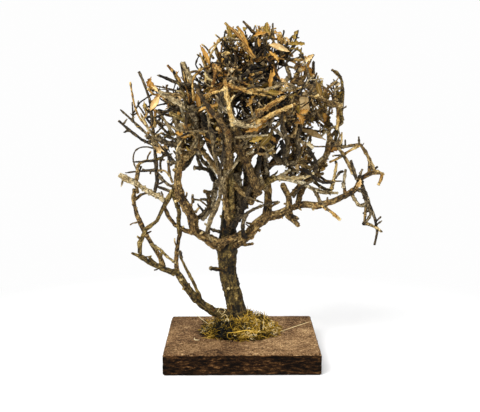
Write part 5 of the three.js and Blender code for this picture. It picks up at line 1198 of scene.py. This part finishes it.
class Grower:
    """Grows the fine twigs. A seat is a place that one can start from, the way out of the wood there, and
    how thick the wood is."""

    def __init__(self):
        self.rng = random.Random(41)
        self.sprays = {kind: {part: Spray(number * len(PARTS) + index) for index, part in enumerate(PARTS)}
                       for number, kind in enumerate(KINDS)}
        self.space = Space()
        self.seats, self.stub_seats = [], []
        for slot, nodes in WOOD.items():
            for node in nodes:
                self.take_in(slot, node)
        self.space.settle()
        self.hides = Showpieces().hides

    def take_in(self, slot, node):
        """Notes the space that a limb takes up, the seats on it and those where it bears a stub."""
        _, points, corners, values = coarse_data(node)
        first, second, third = (points[corners[:, k]] for k in range(3))
        normals = np.cross(second - first, third - first)
        area = np.linalg.norm(normals, axis=1)
        rows = zip(points[corners].mean(1), normals / area[:, None], area / 2, values[corners, 1].mean(1))
        for spot, normal, size, thick in rows:
            centre = spot - normal * min(thick, THICKEST) / 2
            self.space.add([centre], [min(thick, THICKEST) / 2])
            if inside_crown(spot):
                self.seats.append((Vector(centre), Vector(normal), thick))
            if self.rng.random() < size / STUB_SPACING:
                self.stub_seats.append((slot, node, Vector(spot), Vector(normal), thick))
        for a, b in points[np.concatenate([corners[:, [0, 1]], corners[:, [1, 2]]])]:
            length = np.linalg.norm(b - a)
            if length > LONG_EDGE:
                count = int(length / EDGE_STEP)
                inner = [a + (b - a) * (k / count) for k in range(1, count)]
                self.space.add(inner, [EDGE_RADIUS] * len(inner))

    def add(self, points, wide, tip, kind, part, lift=0.0):
        """Makes one twig, which new ones can start from."""
        line = curve_through(points, 0.0009 if wide > 0.0016 else 0.0012)
        radii = knotty(line, wide, tip, self.rng)
        tone = TONES[kind] + lift + self.rng.gauss(0, 0.1)
        self.sprays[kind][part].tube(line, radii, tone)
        self.space.add(line, radii)
        for index in range(3, len(line) - 1, 3):
            heading = (line[index + 1] - line[index]).normalized()
            self.seats.append((line[index], heading.orthogonal(), wide))
        return line, radii

    def add_drawn(self):
        for wide, tip, kind, *route in STEMS:
            # Painted light: the frontmost straw limbs are painted paler
            painted_front_light = PAINTED_FRONT_LIGHT if route[0][2] < FRONT_EDGE else 0.0
            points = rooted(route, wide * MM, tip * MM, self.space)
            self.add(points, wide * MM, tip * MM, kind, "stems", STEM_LIFT[kind] + painted_front_light)
        for wide, tip, kind, *route in DRAWN:
            points = rooted(route, wide * MM, tip * MM, self.space)
            self.add(points, wide * MM, tip * MM, kind, "outer", DRAWN_LIFT)

    def add_stubs(self):
        """Knobs where twigs broke off and short leaning spurs, all along the limbs."""
        rng = self.rng
        for slot, node, spot, normal, thick in self.stub_seats:
            outward = (spot - TRUNK_FOOT).normalized()
            lean = (outward - normal * outward.dot(normal)) * rng.uniform(-0.2, 1.1)
            heading = (normal * 0.8 + lean + gauss_vector(rng, 0.3)).normalized()
            knob = node == "trunk" or rng.random() < 0.6
            if node == "trunk" and rng.random() < 0.5:
                continue
            widest = rng.uniform(1.4, 2.4) if knob else rng.uniform(1.0, 1.8)
            wide = min(widest, thick / MM * 0.75) * MM
            length = rng.uniform(0.9, 1.9) if knob else rng.uniform(2.2, 6.0)
            start = spot - normal * wide * 0.45
            stub = twig_route(start, heading, length * MM + wide * 0.45, rng, 0.35, 0.0013)
            if self.space.room(stub[-1], 0.0003) > 0 and seen_at(stub[-1])[1] > STUBS_FROM:
                self.add(stub, wide, wide * rng.uniform(0.45, 0.75), slot, "stubs")

    def add_thickets(self):
        for middle, half, count in THICKETS:
            near = [seat for seat in self.seats
                    if ellipse_share(seen_at(seat[0]), middle, half) < THICKET_REACH]
            for _ in range(count if near else 0):
                for _ in range(TWIG_TRIES):
                    if self.sprout(near):
                        break

    def sprout(self, near):
        """Makes a twig with side spurs on one of the seats, and says whether there was room for it."""
        rng = self.rng
        centre, normal, thick = rng.choice(near)
        jolt = gauss_vector(rng).normalized()
        outward = (centre - place(*CROWN_MIDDLE)).normalized()
        heading = (normal * 0.8 + jolt * 0.9 + outward * 0.45 + UP * 0.3).normalized()
        route = twig_route(centre, heading, rng.uniform(7, 22) * MM, rng)
        if not all(inside_crown(point) for point in route[1:]) or any(map(self.hides, route[1:])):
            return False
        wide = min(rng.uniform(1.4, 2.9) * MM, max(thick, 0.0012))
        if min(self.space.room(point, wide / 2) for point in route[2:]) < 0.0001:
            return False
        kind = rng.choices(list(KINDS), list(KINDS.values()))[0]
        part = "outer" if (place(*CROWN_MIDDLE) - route[-1]).length > OUTER_FROM else "inner"
        line, radii = self.add(route, wide, wide * rng.uniform(0.5, 0.75), kind, part)
        self.add_spurs(line, radii, kind, part)
        near.extend((point, UP, wide) for point in line[3::4])
        return True

    def add_spurs(self, line, radii, kind, part):
        """Short side spurs and buds."""
        rng = self.rng
        for _ in range(rng.choice((0, 1, 1, 2, 3))):
            index = rng.randrange(len(line) // 3, len(line) - 1)
            along = (line[index + 1] - line[index]).normalized()
            aside = gauss_vector(rng)
            aside = (aside - along * aside.dot(along)).normalized()
            spur = twig_route(line[index], aside + along * 0.7, rng.uniform(2, 8) * MM, rng, 0.3, 0.002)
            free = spur[2:] or [spur[-1]]
            if inside_crown(spur[-1]) and min(self.space.room(point, 0.0004) for point in free) > 0:
                self.add(spur, radii[index] * 1.7, 0.7 * MM, kind, part)

    def add_chips(self):
        """Chips and broken ends that stick out of the wood all over the crown."""
        rng = self.rng
        for _ in range(CHIPS):
            centre, normal, _ = rng.choice(self.seats)
            jolt = gauss_vector(rng).normalized()
            chip = twig_route(centre, normal + jolt * 1.1, rng.uniform(2.2, 5.5) * MM, rng, 0.5, 0.0014)
            if inside_crown(chip[-1]) and rng.random() < crowding(centre) and not any(map(self.hides, chip)):
                wide = rng.uniform(1.2, 2.7) * MM
                kind = rng.choices(list(KINDS), CHIP_KINDS)[0]
                self.add(chip, wide, wide * rng.uniform(0.35, 0.9), kind, "chips")

    def build(self):
        for kind, parts in self.sprays.items():
            for part, spray in parts.items():
                if spray.faces:
                    spray.build(f"twigs_{kind.replace('bark_', '').replace('_twig', '')}_{part}", kind)


def grow_twigs():
    """Makes all the twigs, and gives the seats that are left inside the crown and the space taken up."""
    grower = Grower()
    grower.add_drawn()
    grower.add_stubs()
    grower.add_thickets()
    grower.add_chips()
    grower.build()
    return [seat for seat in grower.seats if inside_crown(seat[0])], grower.space


# Leaves

def blade_half(t, width, blunt, ragged, wave):
    """Half of a leaf's width at a share of the way up: a stalk, then an oval with a wavy edge."""
    blade = max(0.0, (t - 0.12) / 0.88)
    half = width / 2 * math.sin(math.pi * blade ** 0.8) ** 0.75
    half += width / 2 * blunt * blade ** 3
    half *= 1 + (0.08 + 0.5 * ragged) * math.sin(wave[0] * 3 * t + wave[1])
    return max(half, 0.0003 if t < 0.14 else 0.00012)


def leaf_rows(base, tip, width, facing, rng, curl, rows, columns, ragged):
    """A dry leaf's middle face, row by row: cupped, twisted, with a wavy edge and a stalk that runs into its
    vein. Each point has its share of the way to the edge, the way up from the face, and the way along."""
    base, tip = Vector(base), Vector(tip)
    along = tip - base
    length = along.length
    along.normalize()
    across = along.cross(facing).normalized()
    out = across.cross(along).normalized()
    twist = rng.uniform(-0.45, 0.45)
    sag = rng.uniform(-0.1, 0.14) * length
    waves = [(rng.uniform(5, 11), rng.uniform(0, 6.3)) for _ in range(3)]
    blunt = ragged * rng.uniform(0, 0.8)
    grid = []
    for row in range(rows + 1):
        t = row / rows
        half = blade_half(t, width, blunt, ragged, waves[0])
        turn = twist * t
        side = across * math.cos(turn) + out * math.sin(turn)
        up = out * math.cos(turn) - across * math.sin(turn)
        middle = base + along * length * t + out * sag * math.sin(math.pi * t)
        middle += across * ragged * 0.16 * length * math.sin(waves[2][0] * 0.6 * t + waves[2][1]) * t
        line = []
        for column in range(columns + 1):
            s = column / columns * 2 - 1
            bowl = curl * half * s * s
            wave = math.sin(waves[1][0] * 2.4 * t + waves[1][1] + (2 if s > 0 else 0))
            ripple = 0.12 * half * abs(s) ** 3 * wave
            fold = 0.2 * half * abs(s)
            spot = middle + side * half * s * (1 - 0.12 * curl * abs(s)) + up * (bowl + ripple + fold)
            line.append((spot, s, up, length * t))
        grid.append(line)
    return grid


def closed_faces(rows, columns):
    """The faces of a sheet with an upper and a lower side, and of its rim."""
    wide = columns + 1
    other = (rows + 1) * wide
    faces = []
    for row in range(rows):
        for column in range(columns):
            a = row * wide + column
            faces.append((a, a + 1, a + wide + 1, a + wide))
            faces.append((other + a, other + a + wide, other + a + wide + 1, other + a + 1))
        left, right = row * wide, row * wide + columns
        faces.append((left, left + wide, other + left + wide, other + left))
        faces.append((right, other + right, other + right + wide, right + wide))
    for column in range(columns):
        low, high = column, rows * wide + column
        faces.append((low, other + low, other + low + 1, low + 1))
        faces.append((high, high + 1, other + high + 1, other + high))
    return faces


# Half of a leaf's thickness and the height of its vein on the lower side, in metres
LEAF_HALF = 0.00014
VEIN_HEIGHT = 0.00016


def leaf_shape(base, tip, width, facing, rng, curl=0.5, rows=22, columns=8, ragged=0.0):
    """A dry leaf as a thin closed blade: its vertices, faces, and their shares across and ways along."""
    grid = leaf_rows(base, tip, width, facing, rng, curl, rows, columns, ragged)
    vertices, across_values, along_values = [], [], []
    for sign in (1, -1):
        for spot, s, up, travelled in (point for line in grid for point in line):
            vein = VEIN_HEIGHT * math.exp(-(s * 7) ** 2)
            vertices.append(spot + up * sign * (LEAF_HALF + (vein if sign < 0 else vein * 0.4)))
            across_values.append(s)
            along_values.append(travelled)
    return vertices, closed_faces(rows, columns), across_values, along_values


def leaf_mesh(name, slot, shapes, tones):
    vertices, faces, across_values, along_values, tone = [], [], [], [], []
    for (points, sides, across_part, along_part), shade in zip(shapes, tones):
        faces.extend(tuple(len(vertices) + index for index in face) for face in sides)
        vertices.extend(points)
        across_values.extend(across_part)
        along_values.extend(along_part)
        tone.extend([shade] * len(points))
    thing = new_object(name, vertices, faces, LEAF_SKINS[slot])
    mesh = bmesh.new()
    mesh.from_mesh(thing.data)
    bmesh.ops.recalc_face_normals(mesh, faces=mesh.faces)
    mesh.to_mesh(thing.data)
    mesh.free()
    float_attribute(thing.data, "across", across_values)
    float_attribute(thing.data, "along", along_values)
    float_attribute(thing.data, "tone", tone)
    finish_piece(thing)
    return thing


# Small leaf scraps and buds caught in the twigs: width, slot, base and tip
SCRAPS = [
    (2.2, GREEN, (3.4, 136.6, -38), (14.6, 139.6, -40)),
    (2.6, GREEN, (45.2, 158, 6), (47.5, 165.6, 5)),
    (2, GREEN, (30, 187.9, 2), (33.2, 194.4, 1)),
    (1.8, TAN, (28.1, 186.5, 1), (26.5, 190.6, 0)),
    (2.2, ORANGE, (23.4, 187.9, 0), (20.2, 192.2, -1)),
    (3, TAN, (14.8, 191.1, -3), (15.9, 198.2, -4)),
    (2, TAN, (-6.7, 190, -9), (-8.6, 194.8, -10)),
    (1.7, ORANGE, (-19.7, 176.8, -6), (-22.9, 185, -8)),
    (2.4, ORANGE, (-25, 151, -6), (-25.6, 156, -8)),
    (2.6, ORANGE, (57, 139, 5), (57.2, 145, 4)),
    (3.2, ORANGE, (-53.4, 149.5, -6), (-48.6, 156.5, -8)),
    (3.2, TAN, (68.5, 101, -10), (71, 107, -11)),
    (2.6, TAN, (33, 110, -2), (34.4, 116, -3)),
    (2.4, ORANGE, (3, 150, -40), (9, 156, -43)),
    (2.6, TAN, (-8, 168, -30), (-2, 174, -32)),
    (2.4, ORANGE, (22, 176, -20), (17, 183, -21)),
    (2.4, TAN, (-34, 150, -14), (-38, 157, -15)),
    (3.4, ORANGE, (2.6, 135, -44), (15.6, 141, -44)),
    (3.6, ORANGE, (36.4, 139.3, -42), (33.4, 146.2, -43)),
    (3, ORANGE, (34.2, 145.6, -43), (39.2, 148.3, -43)),
    (3.4, GREEN, (5, 129.3, -42), (12.7, 131.1, -42)),
    (3.6, GREEN, (15.1, 158.4, -42), (22.2, 157.6, -42)),
    (2.4, TAN, (19.8, 156, -42), (24.5, 159.1, -42)),
    (3.6, ORANGE, (-24.5, 148.4, -28), (-26.7, 158.7, -28)),
    (3.4, ORANGE, (-29.9, 132.2, -18), (-39.2, 133.6, -18)),
    (2.6, TAN, (-17.1, 155.5, -40), (-21.1, 154, -40)),
    (3, ORANGE, (-52.7, 167.7, -12), (-54.4, 161.5, -12)),
    (2.4, TAN, (-52.4, 161.9, -12), (-48.5, 159.4, -14)),
    (5, TAN, (-50.8, 122, -10), (-44.3, 127.1, -10)),
    (3, GREEN, (-44.4, 132.8, -14), (-39.9, 134.6, -14)),
    (2.2, GREEN, (-57.2, 153.3, -10), (-56.5, 146.3, -10)),
    (1.8, ORANGE, (8.6, 178.4, -30), (-2, 196.3, -33)),
    (2.4, GREEN, (-6, 186.6, -26), (-9.2, 199.1, -28)),
    (3.4, GREEN, (16.2, 188.8, -16), (14.9, 199, -16)),
    (2.8, ORANGE, (7.5, 191.1, -26), (14.6, 193.2, -26)),
    (2.6, GREEN, (27.7, 186.2, -20), (37.3, 187, -20)),
    (2.4, ORANGE, (16.8, 159.7, -34), (18.2, 172.2, -34)),
    (2.4, TAN, (27.8, 161.3, -34), (23.1, 166, -34)),
    (2.4, TAN, (35.6, 175.2, -18), (42.6, 180.2, -18)),
    (2.6, ORANGE, (35.6, 169.8, -20), (40.3, 176.8, -20)),
    (1.6, ORANGE, (-19.5, 175.4, -16), (-23.4, 186.1, -16)),
    (2.6, TAN, (-11.4, 169.9, -28), (-15.2, 174.6, -28)),
]


# What hangs caught all over the crown: how many, lengths, widths, least share of the way out, rows and
# columns of each, and slots
LITTER = [
    ("crumbs", 700, (2.0, 4.8), (1.4, 2.8), 0.0, (6, 2), (DARK, DARK, GREEN, ORANGE)),
    ("strips", 380, (5.0, 13.0), (1.3, 2.7), 0.5, (12, 4), (TAN, GREEN, ORANGE, STRAW)),
]


def crown_litter(seats):
    """Crumpled leaf bits and peeled strips caught between the twigs."""
    rng = random.Random(63)
    hides = Showpieces().hides
    for name, count, lengths, widths, least, grid, slots in LITTER:
        shapes = {slot: [] for slot in sorted(set(slots))}
        tones = {slot: [] for slot in shapes}
        for _ in range(count):
            centre, _, _ = rng.choice(seats)
            outward = (centre - place(*CROWN_MIDDLE)).normalized()
            jolt = gauss_vector(rng)
            if name == "strips":
                jolt -= outward * jolt.dot(outward) * 0.7
            tip = centre + jolt.normalized() * rng.uniform(*lengths) * MM
            if crown_share(tip) < least or not inside_crown(tip) or hides(tip) or hides(centre):
                continue
            if rng.random() > crowding(centre):
                continue
            facing = (outward + gauss_vector(rng, 0.5)).normalized()
            slot = rng.choice(slots)
            wide = rng.uniform(*widths) * MM
            curl = rng.uniform(0.5, 1.8)
            ragged = rng.uniform(0.2, 1)
            shapes[slot].append(leaf_shape(centre, tip, wide, facing, rng, curl, *grid, ragged))
            # The tone is random, and painted darker deeper in the crown as painted shade
            tones[slot].append(rng.uniform(0.35, 0.9) - 0.4 * max(0.0, 0.8 - crown_share(tip)))
        for slot in shapes:
            if shapes[slot]:
                leaf_mesh(name + "_" + slot, slot, shapes[slot], tones[slot])


# How far the tips of these leaves lean towards the camera, in metres, or back where below zero
FORWARD = {"leaf_big_right": 0.011, "leaf_low_right": -0.003}
# Leaves paler or darker than their kind; leaf_big_right is painted paler, as painted light where a limb in
# front of it casts its shadow
LEAF_SHADES = {"leaf_big_right": 0.07, "leaf_low_right": 0.08, "leaf_top_left": -0.2, "leaf_left_fold": -0.1}
# How much wider than its solid a blade is, which also curls
BLADE_SPREAD = 2.2
NARROW_BLADES = {"leaf_top_left": 1.3, "leaf_upper_left": 1.6, "leaf_left_fold": 1.8}
# Leaves and scraps face the front, and a little up
LEAF_FACING = Vector((0, -1, 0.35))
# A scrap is slid along the line of sight in steps of this many millimetres, at most this often, until wood
# reaches this many metres past its middle line, which is why the last one is below zero
SLIDE = 0.7
SLIDES = 24
CATCH = -0.0004


def caught(base, tip, space):
    """The ends of a scrap that lies on wood."""
    for step in range(SLIDES):
        for shift in (step * SLIDE, -step * SLIDE):
            low, high = (place(right, height, depth + shift) for right, height, depth in (base, tip))
            if space.holds([low.lerp(high, part / 6) for part in range(7)], CATCH, CATCH):
                return low, high
    return place(*base), place(*tip)


def blade(node, slot, rng):
    """A leaf that lies as its solid does, with its stalk at the narrower end."""
    points = np.array([v.co for v in frame["nodes"][node].data.vertices])
    middle = points.mean(0)
    _, _, axes = np.linalg.svd(points - middle)
    reach = (points - middle) @ axes[0]
    spread = np.abs((points - middle) @ axes[1])
    low, high = middle + axes[0] * reach.min(), middle + axes[0] * reach.max()
    narrow_low = spread[reach < np.percentile(reach, 25)].max()
    narrow_high = spread[reach > np.percentile(reach, 75)].max()
    base, tip = (low, high) if narrow_low <= narrow_high else (high, low)
    if node in FORWARD:
        tip = Vector(tip) + (CAMERA_PLACE - Vector(middle)).normalized() * FORWARD[node]
    wide = NARROW_BLADES.get(node, BLADE_SPREAD) * spread.max()
    shape = leaf_shape(base, tip, wide, LEAF_FACING, rng)
    shade = rng.uniform(0.42, 0.68) + LEAF_SHADES.get(node, 0.0)
    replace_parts(leaf_mesh(node + "_blade", slot, [shape], [shade]), node)


def scraps(slot, rows, rng, space):
    shapes = []
    for width, _, base, tip in rows:
        curl, ragged = rng.uniform(0.5, 1.3), rng.uniform(0.2, 0.8)
        low, high = caught(base, tip, space)
        shapes.append(leaf_shape(low, high, width * MM, LEAF_FACING, rng, curl, ragged=ragged))
    leaf_mesh("scraps_" + slot, slot, shapes, [rng.uniform(0.5, 0.85) for _ in shapes])


def leaf_pieces(space):
    rng = random.Random(77)
    for slot, nodes in LEAVES.items():
        for node in nodes:
            blade(node, slot, rng)
    for slot in LEAF_SKINS:
        rows = [row for row in SCRAPS if row[1] == slot]
        if rows:
            scraps(slot, rows, rng, space)


# Moss

# Places of moss to the right or left of the trunk are told as shares of this distance, in metres
MOSS_REACH = 0.02


def moss_strand(rng, start, normal, length, lift):
    """The centre line of one curled strand that lies on the clump."""
    flow = Vector((rng.gauss(0, 1), rng.gauss(0, 1), rng.gauss(0, 0.5)))
    flow = (flow - normal * flow.dot(normal)).normalized()
    spin = rng.uniform(-1.1, 1.1)
    points = [start - normal * 0.0005]
    heading = (flow + normal * lift).normalized()
    count = 7
    for index in range(count):
        points.append(points[-1] + heading * length / count)
        turned = Matrix.Rotation(spin * rng.uniform(0.5, 1.4), 3, normal) @ heading
        heading = (turned + normal * (-0.28 * lift if index > 2 else 0.1) - UP * 0.05).normalized()
    return points


def curled_strand(rng, places, normals):
    """A strand on the clump: golden to the right, and dark to the left of the trunk's front."""
    index = rng.randrange(len(places))
    start, normal = Vector(places[index]), Vector(normals[index])
    sideness = (start.x - TRUNK_FOOT.x) / MOSS_REACH
    dark = -0.62 < sideness < -0.12 and start.y < TRUNK_FOOT.y - 0.006 and rng.random() < 0.75
    patch = 0.36 * lattice_noise(np.array([tuple(start)]) * 210, 9)[0]
    shade = 0.57 + 0.09 * max(-1, min(1, sideness)) + rng.gauss(0, 0.18) + (-0.38 if dark else 0) + patch
    if rng.random() < 0.025:
        shade = rng.uniform(0.85, 1.0)
    width = rng.uniform(0.28, 0.62) * MM
    length, lift = rng.uniform(3.5, 9) * MM, rng.uniform(0.1, 0.9)
    return moss_strand(rng, start, normal, length, lift), width, shade


def stiff_tip(rng, places, normals):
    """A tip that stands up out of the clump, or nothing, which is more likely left of the trunk."""
    index = rng.randrange(len(places))
    start = Vector(places[index])
    if start.x < TRUNK_FOOT.x + rng.uniform(-0.012, 0.008):
        return None
    up = (Vector(normals[index]) + Vector((rng.gauss(0.2, 0.3), rng.gauss(-0.1, 0.3), 1))).normalized()
    tip = start + up * rng.uniform(3, 6.5) * MM
    middle = (start + tip) / 2 + Vector((rng.gauss(0, 0.3), rng.gauss(0, 0.3), 0)) * MM
    shade = rng.choice((0.3, 0.45, 0.55, 0.62, 0.7))
    return curve_through([start - up * MM, middle, tip], 0.001), rng.uniform(0.35, 0.6) * MM, shade


def loose_end(rng, places, _):
    """A strand that lies on the board round the clump."""
    start = Vector(places[rng.randrange(len(places))])
    away = Vector((start.x - TRUNK_FOOT.x, start.y - TRUNK_FOOT.y, 0)).normalized()
    ground = TRUNK_FOOT + away * rng.uniform(0.015, 0.0235)
    ground.z = LOOSE_ABOVE_BOARD
    line = moss_strand(rng, ground, UP, rng.uniform(3, 7) * MM, 0.15)
    return line, 0.3 * MM, rng.uniform(0.3, 0.8)


# How many of each a clump has
MOSS_STRANDS = ((curled_strand, 900), (stiff_tip, 60), (loose_end, 60))


def strand_piece(name, lines, sides, material):
    """Strands in one mesh, thin at both ends, none of them sunk in the board."""
    vertices, faces, tones = [], [], []
    for points, width, shade in lines:
        for point in points:
            point.z = max(point.z, STRANDS_ABOVE_BOARD)
        first, rings = len(vertices), len(points)
        across = (points[1] - points[0]).orthogonal().normalized()
        for index, (_, across, aside) in enumerate(frames_along(points, across)):
            taper = 1 - 0.75 * abs(index / (rings - 1) * 2 - 1) ** 2.5
            for outward in all_round(across, aside, sides):
                vertices.append(points[index] + outward * width / 2 * taper)
        tones.extend([shade] * rings * sides)
        faces.extend(wall_faces(first, rings, sides))
        faces.append(tuple(first + side for side in reversed(range(sides))))
        faces.append(tuple(first + (rings - 1) * sides + side for side in range(sides)))
    strands = new_object(name, vertices, faces, material)
    float_attribute(strands.data, "tone", tones)
    finish_piece(strands)


def moss_cushion(node, material):
    """The clump itself. It gives the places and normals that strands can start from."""
    cushion, places, normals = remeshed(node + "_cushion", node, material, 5)
    lumps = lattice_noise(places * 330, 3) * 0.0011 + lattice_noise(places * 1100, 4) * 0.0004
    lumps += lattice_noise(places * 2600, 5) * 0.0002
    places = raised(cushion, places, normals, lumps, ABOVE_BOARD)
    side = (places[:, 0] - TRUNK_FOOT.x) / MOSS_REACH
    tone = 0.11 + 0.09 * np.clip(side, -1, 1) + 0.12 * lattice_noise(places * 300, 6)
    float_attribute(cushion.data, "tone", tone)
    finish_piece(cushion)
    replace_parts(cushion, node)
    upper = normals[:, 2] > -0.1
    return places[upper], normals[upper]


def moss_pieces():
    material = moss_material()
    rng = random.Random(19)
    for node in MOSS:
        places, normals = moss_cushion(node, material)
        made = [make(rng, places, normals) for make, count in MOSS_STRANDS for _ in range(count)]
        strand_piece(node + "_strands", [line for line in made if line], 3, material)
    fibres = [(curve_through([place(*point) for point in route], 0.0015), width * MM, shade)
              for width, shade, *route in FIBRES]
    strand_piece("moss_pale_fibres", fibres, 5, material)


# Pale fibres round the foot: width, shade and the points of the route
FIBRES = [
    (0.32, 1, (-30.5, 31.5, -16), (-29.8, 27, -17), (-25, 22.3, -17), (-19.5, 18, -16)),
    (0.35, 0.95, (23, 13.5, -14), (31.5, 16.5, -10), (42, 20, 0)),
    (0.45, 0.72, (-9, 13.2, -37), (-3, 13.4, -38), (3, 14.6, -37), (9, 13.8, -36), (15, 13.2, -34)),
    (0.45, 0.66, (-5, 13.4, -34), (2, 14.4, -36), (7, 13.4, -37), (12, 13.3, -35)),
    (0.32, 0.95, (-15, 26, -14), (-12.5, 29, -15), (-10, 27, -15), (-12, 24.5, -15), (-14, 27, -16)),
    (0.32, 0.9, (-13, 22, -16), (-10, 24.5, -17), (-8.5, 22, -17), (-11, 20, -17)),
    (0.55, 1, (-28.6, 10.2, -12.4), (-28.9, 9.2, -13.8), (-28.2, 8.4, -15.2), (-26.8, 8.2, -15.6),
     (-25.6, 8.7, -15)),
]


# Board, screw and glue

def board_piece():
    board, places, normals = remeshed("board_stained", "base_board", board_material(), 1)
    flatness = np.abs(normals).max(1)
    rough = lattice_noise(places * 1300, 31) * 0.00009 + lattice_noise(places * 420, 32) * 0.00007
    sawn = lattice_noise(places * np.array([300.0, 300.0, 2400.0]), 33) * 0.00012
    wear = 0.0004 + 0.0022 * np.maximum(lattice_noise(places * 260, 34), 0)
    worn = np.clip(0.97 - flatness, 0, 0.3) * wear
    upright = np.abs(normals[:, 2]) > 0.6
    rise = rough + np.where(upright, 0, sawn) - worn
    under = normals[:, 2] < -0.5
    rise = np.where(under, np.minimum(rise, 0), rise)
    raised(board, places, normals, rise, 0.0)
    finish_piece(board)
    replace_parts(board, "base_board")


def screw_piece():
    screw, _, _ = remeshed("screw_turned", "trunk_screw", metal_material(), 3)
    finish_piece(screw)
    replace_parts(screw, "trunk_screw")


def glue_piece():
    glue, places, normals = remeshed("glue_bead", "glue_fillet", glue_material(), 8)
    raised(glue, places, normals, lattice_noise(places * 380, 8) * 0.00025, ABOVE_BOARD)
    finish_piece(glue)
    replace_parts(glue, "glue_fillet")


# Floor, light and camera

BACKDROP = (0.985, 0.985, 0.985, 1.0)
AMBIENT_STRENGTH = 0.35
# Lamps: place, size and power
LAMPS = {
    "key": ((-0.55, -0.75, 0.95), 0.9, 21.5),
    "fill": ((0.8, -0.5, 0.5), 0.7, 4.0),
    "rear": ((0.2, 0.8, 0.8), 0.6, 5.0),
}
LAMP_AIM = Vector((0, 0, 0.1))
# How far from the board's middle the floor starts to run into the backdrop, and ends, in metres
FLOOR_FADE = (0.09, 0.26)


def floor_material():
    """A plain white floor: it shows the contact shadow, and far from the board it runs into the backdrop."""
    n = Nodes("floor_white")
    where = n.add("ShaderNodeNewGeometry").outputs["Position"]
    away = n.add("ShaderNodeVectorMath", {"operation": "LENGTH"}, Vector=where).outputs["Value"]
    fade = n.add("ShaderNodeMapRange", {"interpolation_type": "SMOOTHSTEP"},
                 From_Min=FLOOR_FADE[0], From_Max=FLOOR_FADE[1], Value=away).outputs["Result"]
    path = n.add("ShaderNodeLightPath")
    seen = n.math("MULTIPLY", fade, path.outputs["Is Camera Ray"])
    white = n.add("ShaderNodeEmission", None, Color=BACKDROP)
    mix = n.add("ShaderNodeMixShader")
    material = n.finish((0.96, 0.96, 0.96, 1.0), 0.9, shine=0.0)
    for socket, value in enumerate((seen, n.shader.outputs[0], white.outputs[0])):
        n.join(value, mix.inputs[socket])
    n.join(mix.outputs[0], n.tree.nodes["Material Output"].inputs["Surface"])
    return material


def world():
    """White light from all round, and the backdrop where the camera looks past the object."""
    studio = bpy.data.worlds.new("studio")
    bpy.context.scene.world = studio
    studio.use_nodes = True
    tree = studio.node_tree
    tree.nodes.clear()
    path = tree.nodes.new("ShaderNodeLightPath")
    ambient = tree.nodes.new("ShaderNodeBackground")
    ambient.inputs["Color"].default_value = (1.0, 1.0, 1.0, 1.0)
    ambient.inputs["Strength"].default_value = AMBIENT_STRENGTH
    backdrop = tree.nodes.new("ShaderNodeBackground")
    backdrop.inputs["Color"].default_value = BACKDROP
    backdrop.inputs["Strength"].default_value = 1.0
    mix = tree.nodes.new("ShaderNodeMixShader")
    output = tree.nodes.new("ShaderNodeOutputWorld")
    tree.links.new(path.outputs["Is Camera Ray"], mix.inputs[0])
    tree.links.new(ambient.outputs[0], mix.inputs[1])
    tree.links.new(backdrop.outputs[0], mix.inputs[2])
    tree.links.new(mix.outputs[0], output.inputs[0])


def lamp(name, spot, size, power):
    data = bpy.data.lights.new(name, "AREA")
    data.energy = power
    data.size = size
    thing = bpy.data.objects.new(name, data)
    bpy.context.scene.collection.objects.link(thing)
    thing.location = spot
    thing.rotation_euler = (Vector(spot) - LAMP_AIM).to_track_quat("Z", "Y").to_euler()


def studio():
    corners = [(-4, -4, 0), (4, -4, 0), (4, 4, 0), (-4, 4, 0)]
    floor = new_object("floor", corners, [(0, 1, 2, 3)], floor_material())
    world()
    for name, row in LAMPS.items():
        lamp(name, *row)


def camera():
    data = bpy.data.cameras.new("camera")
    data.sensor_width = SENSOR_WIDTH
    data.lens = FOCAL_PIXELS / PHOTO_SIZE[0] * SENSOR_WIDTH
    data.clip_start = 0.02
    data.clip_end = 20
    thing = bpy.data.objects.new("camera", data)
    bpy.context.scene.collection.objects.link(thing)
    level_share = math.cos(CAMERA_PITCH)
    forward = Vector((math.sin(CAMERA_YAW) * level_share, math.cos(CAMERA_YAW) * level_share,
                      -math.sin(CAMERA_PITCH)))
    level = forward.cross(UP).normalized()
    above = level.cross(forward)
    right = level * math.cos(CAMERA_ROLL) - above * math.sin(CAMERA_ROLL)
    up = right.cross(forward)
    turn = Matrix((right, up, -forward)).transposed()
    thing.matrix_world = Matrix.Translation(CAMERA_PLACE) @ turn.to_4x4()
    bpy.context.scene.camera = thing


for slot, nodes in WOOD.items():
    for number, node in enumerate(nodes):
        refine_wood(node, slot, len(node) * 7 + number)
seats, space = grow_twigs()
crown_litter(seats)
leaf_pieces(space)
moss_pieces()
board_piece()
screw_piece()
glue_piece()
studio()
camera()
bpy.context.scene.view_settings.view_transform = "Standard"
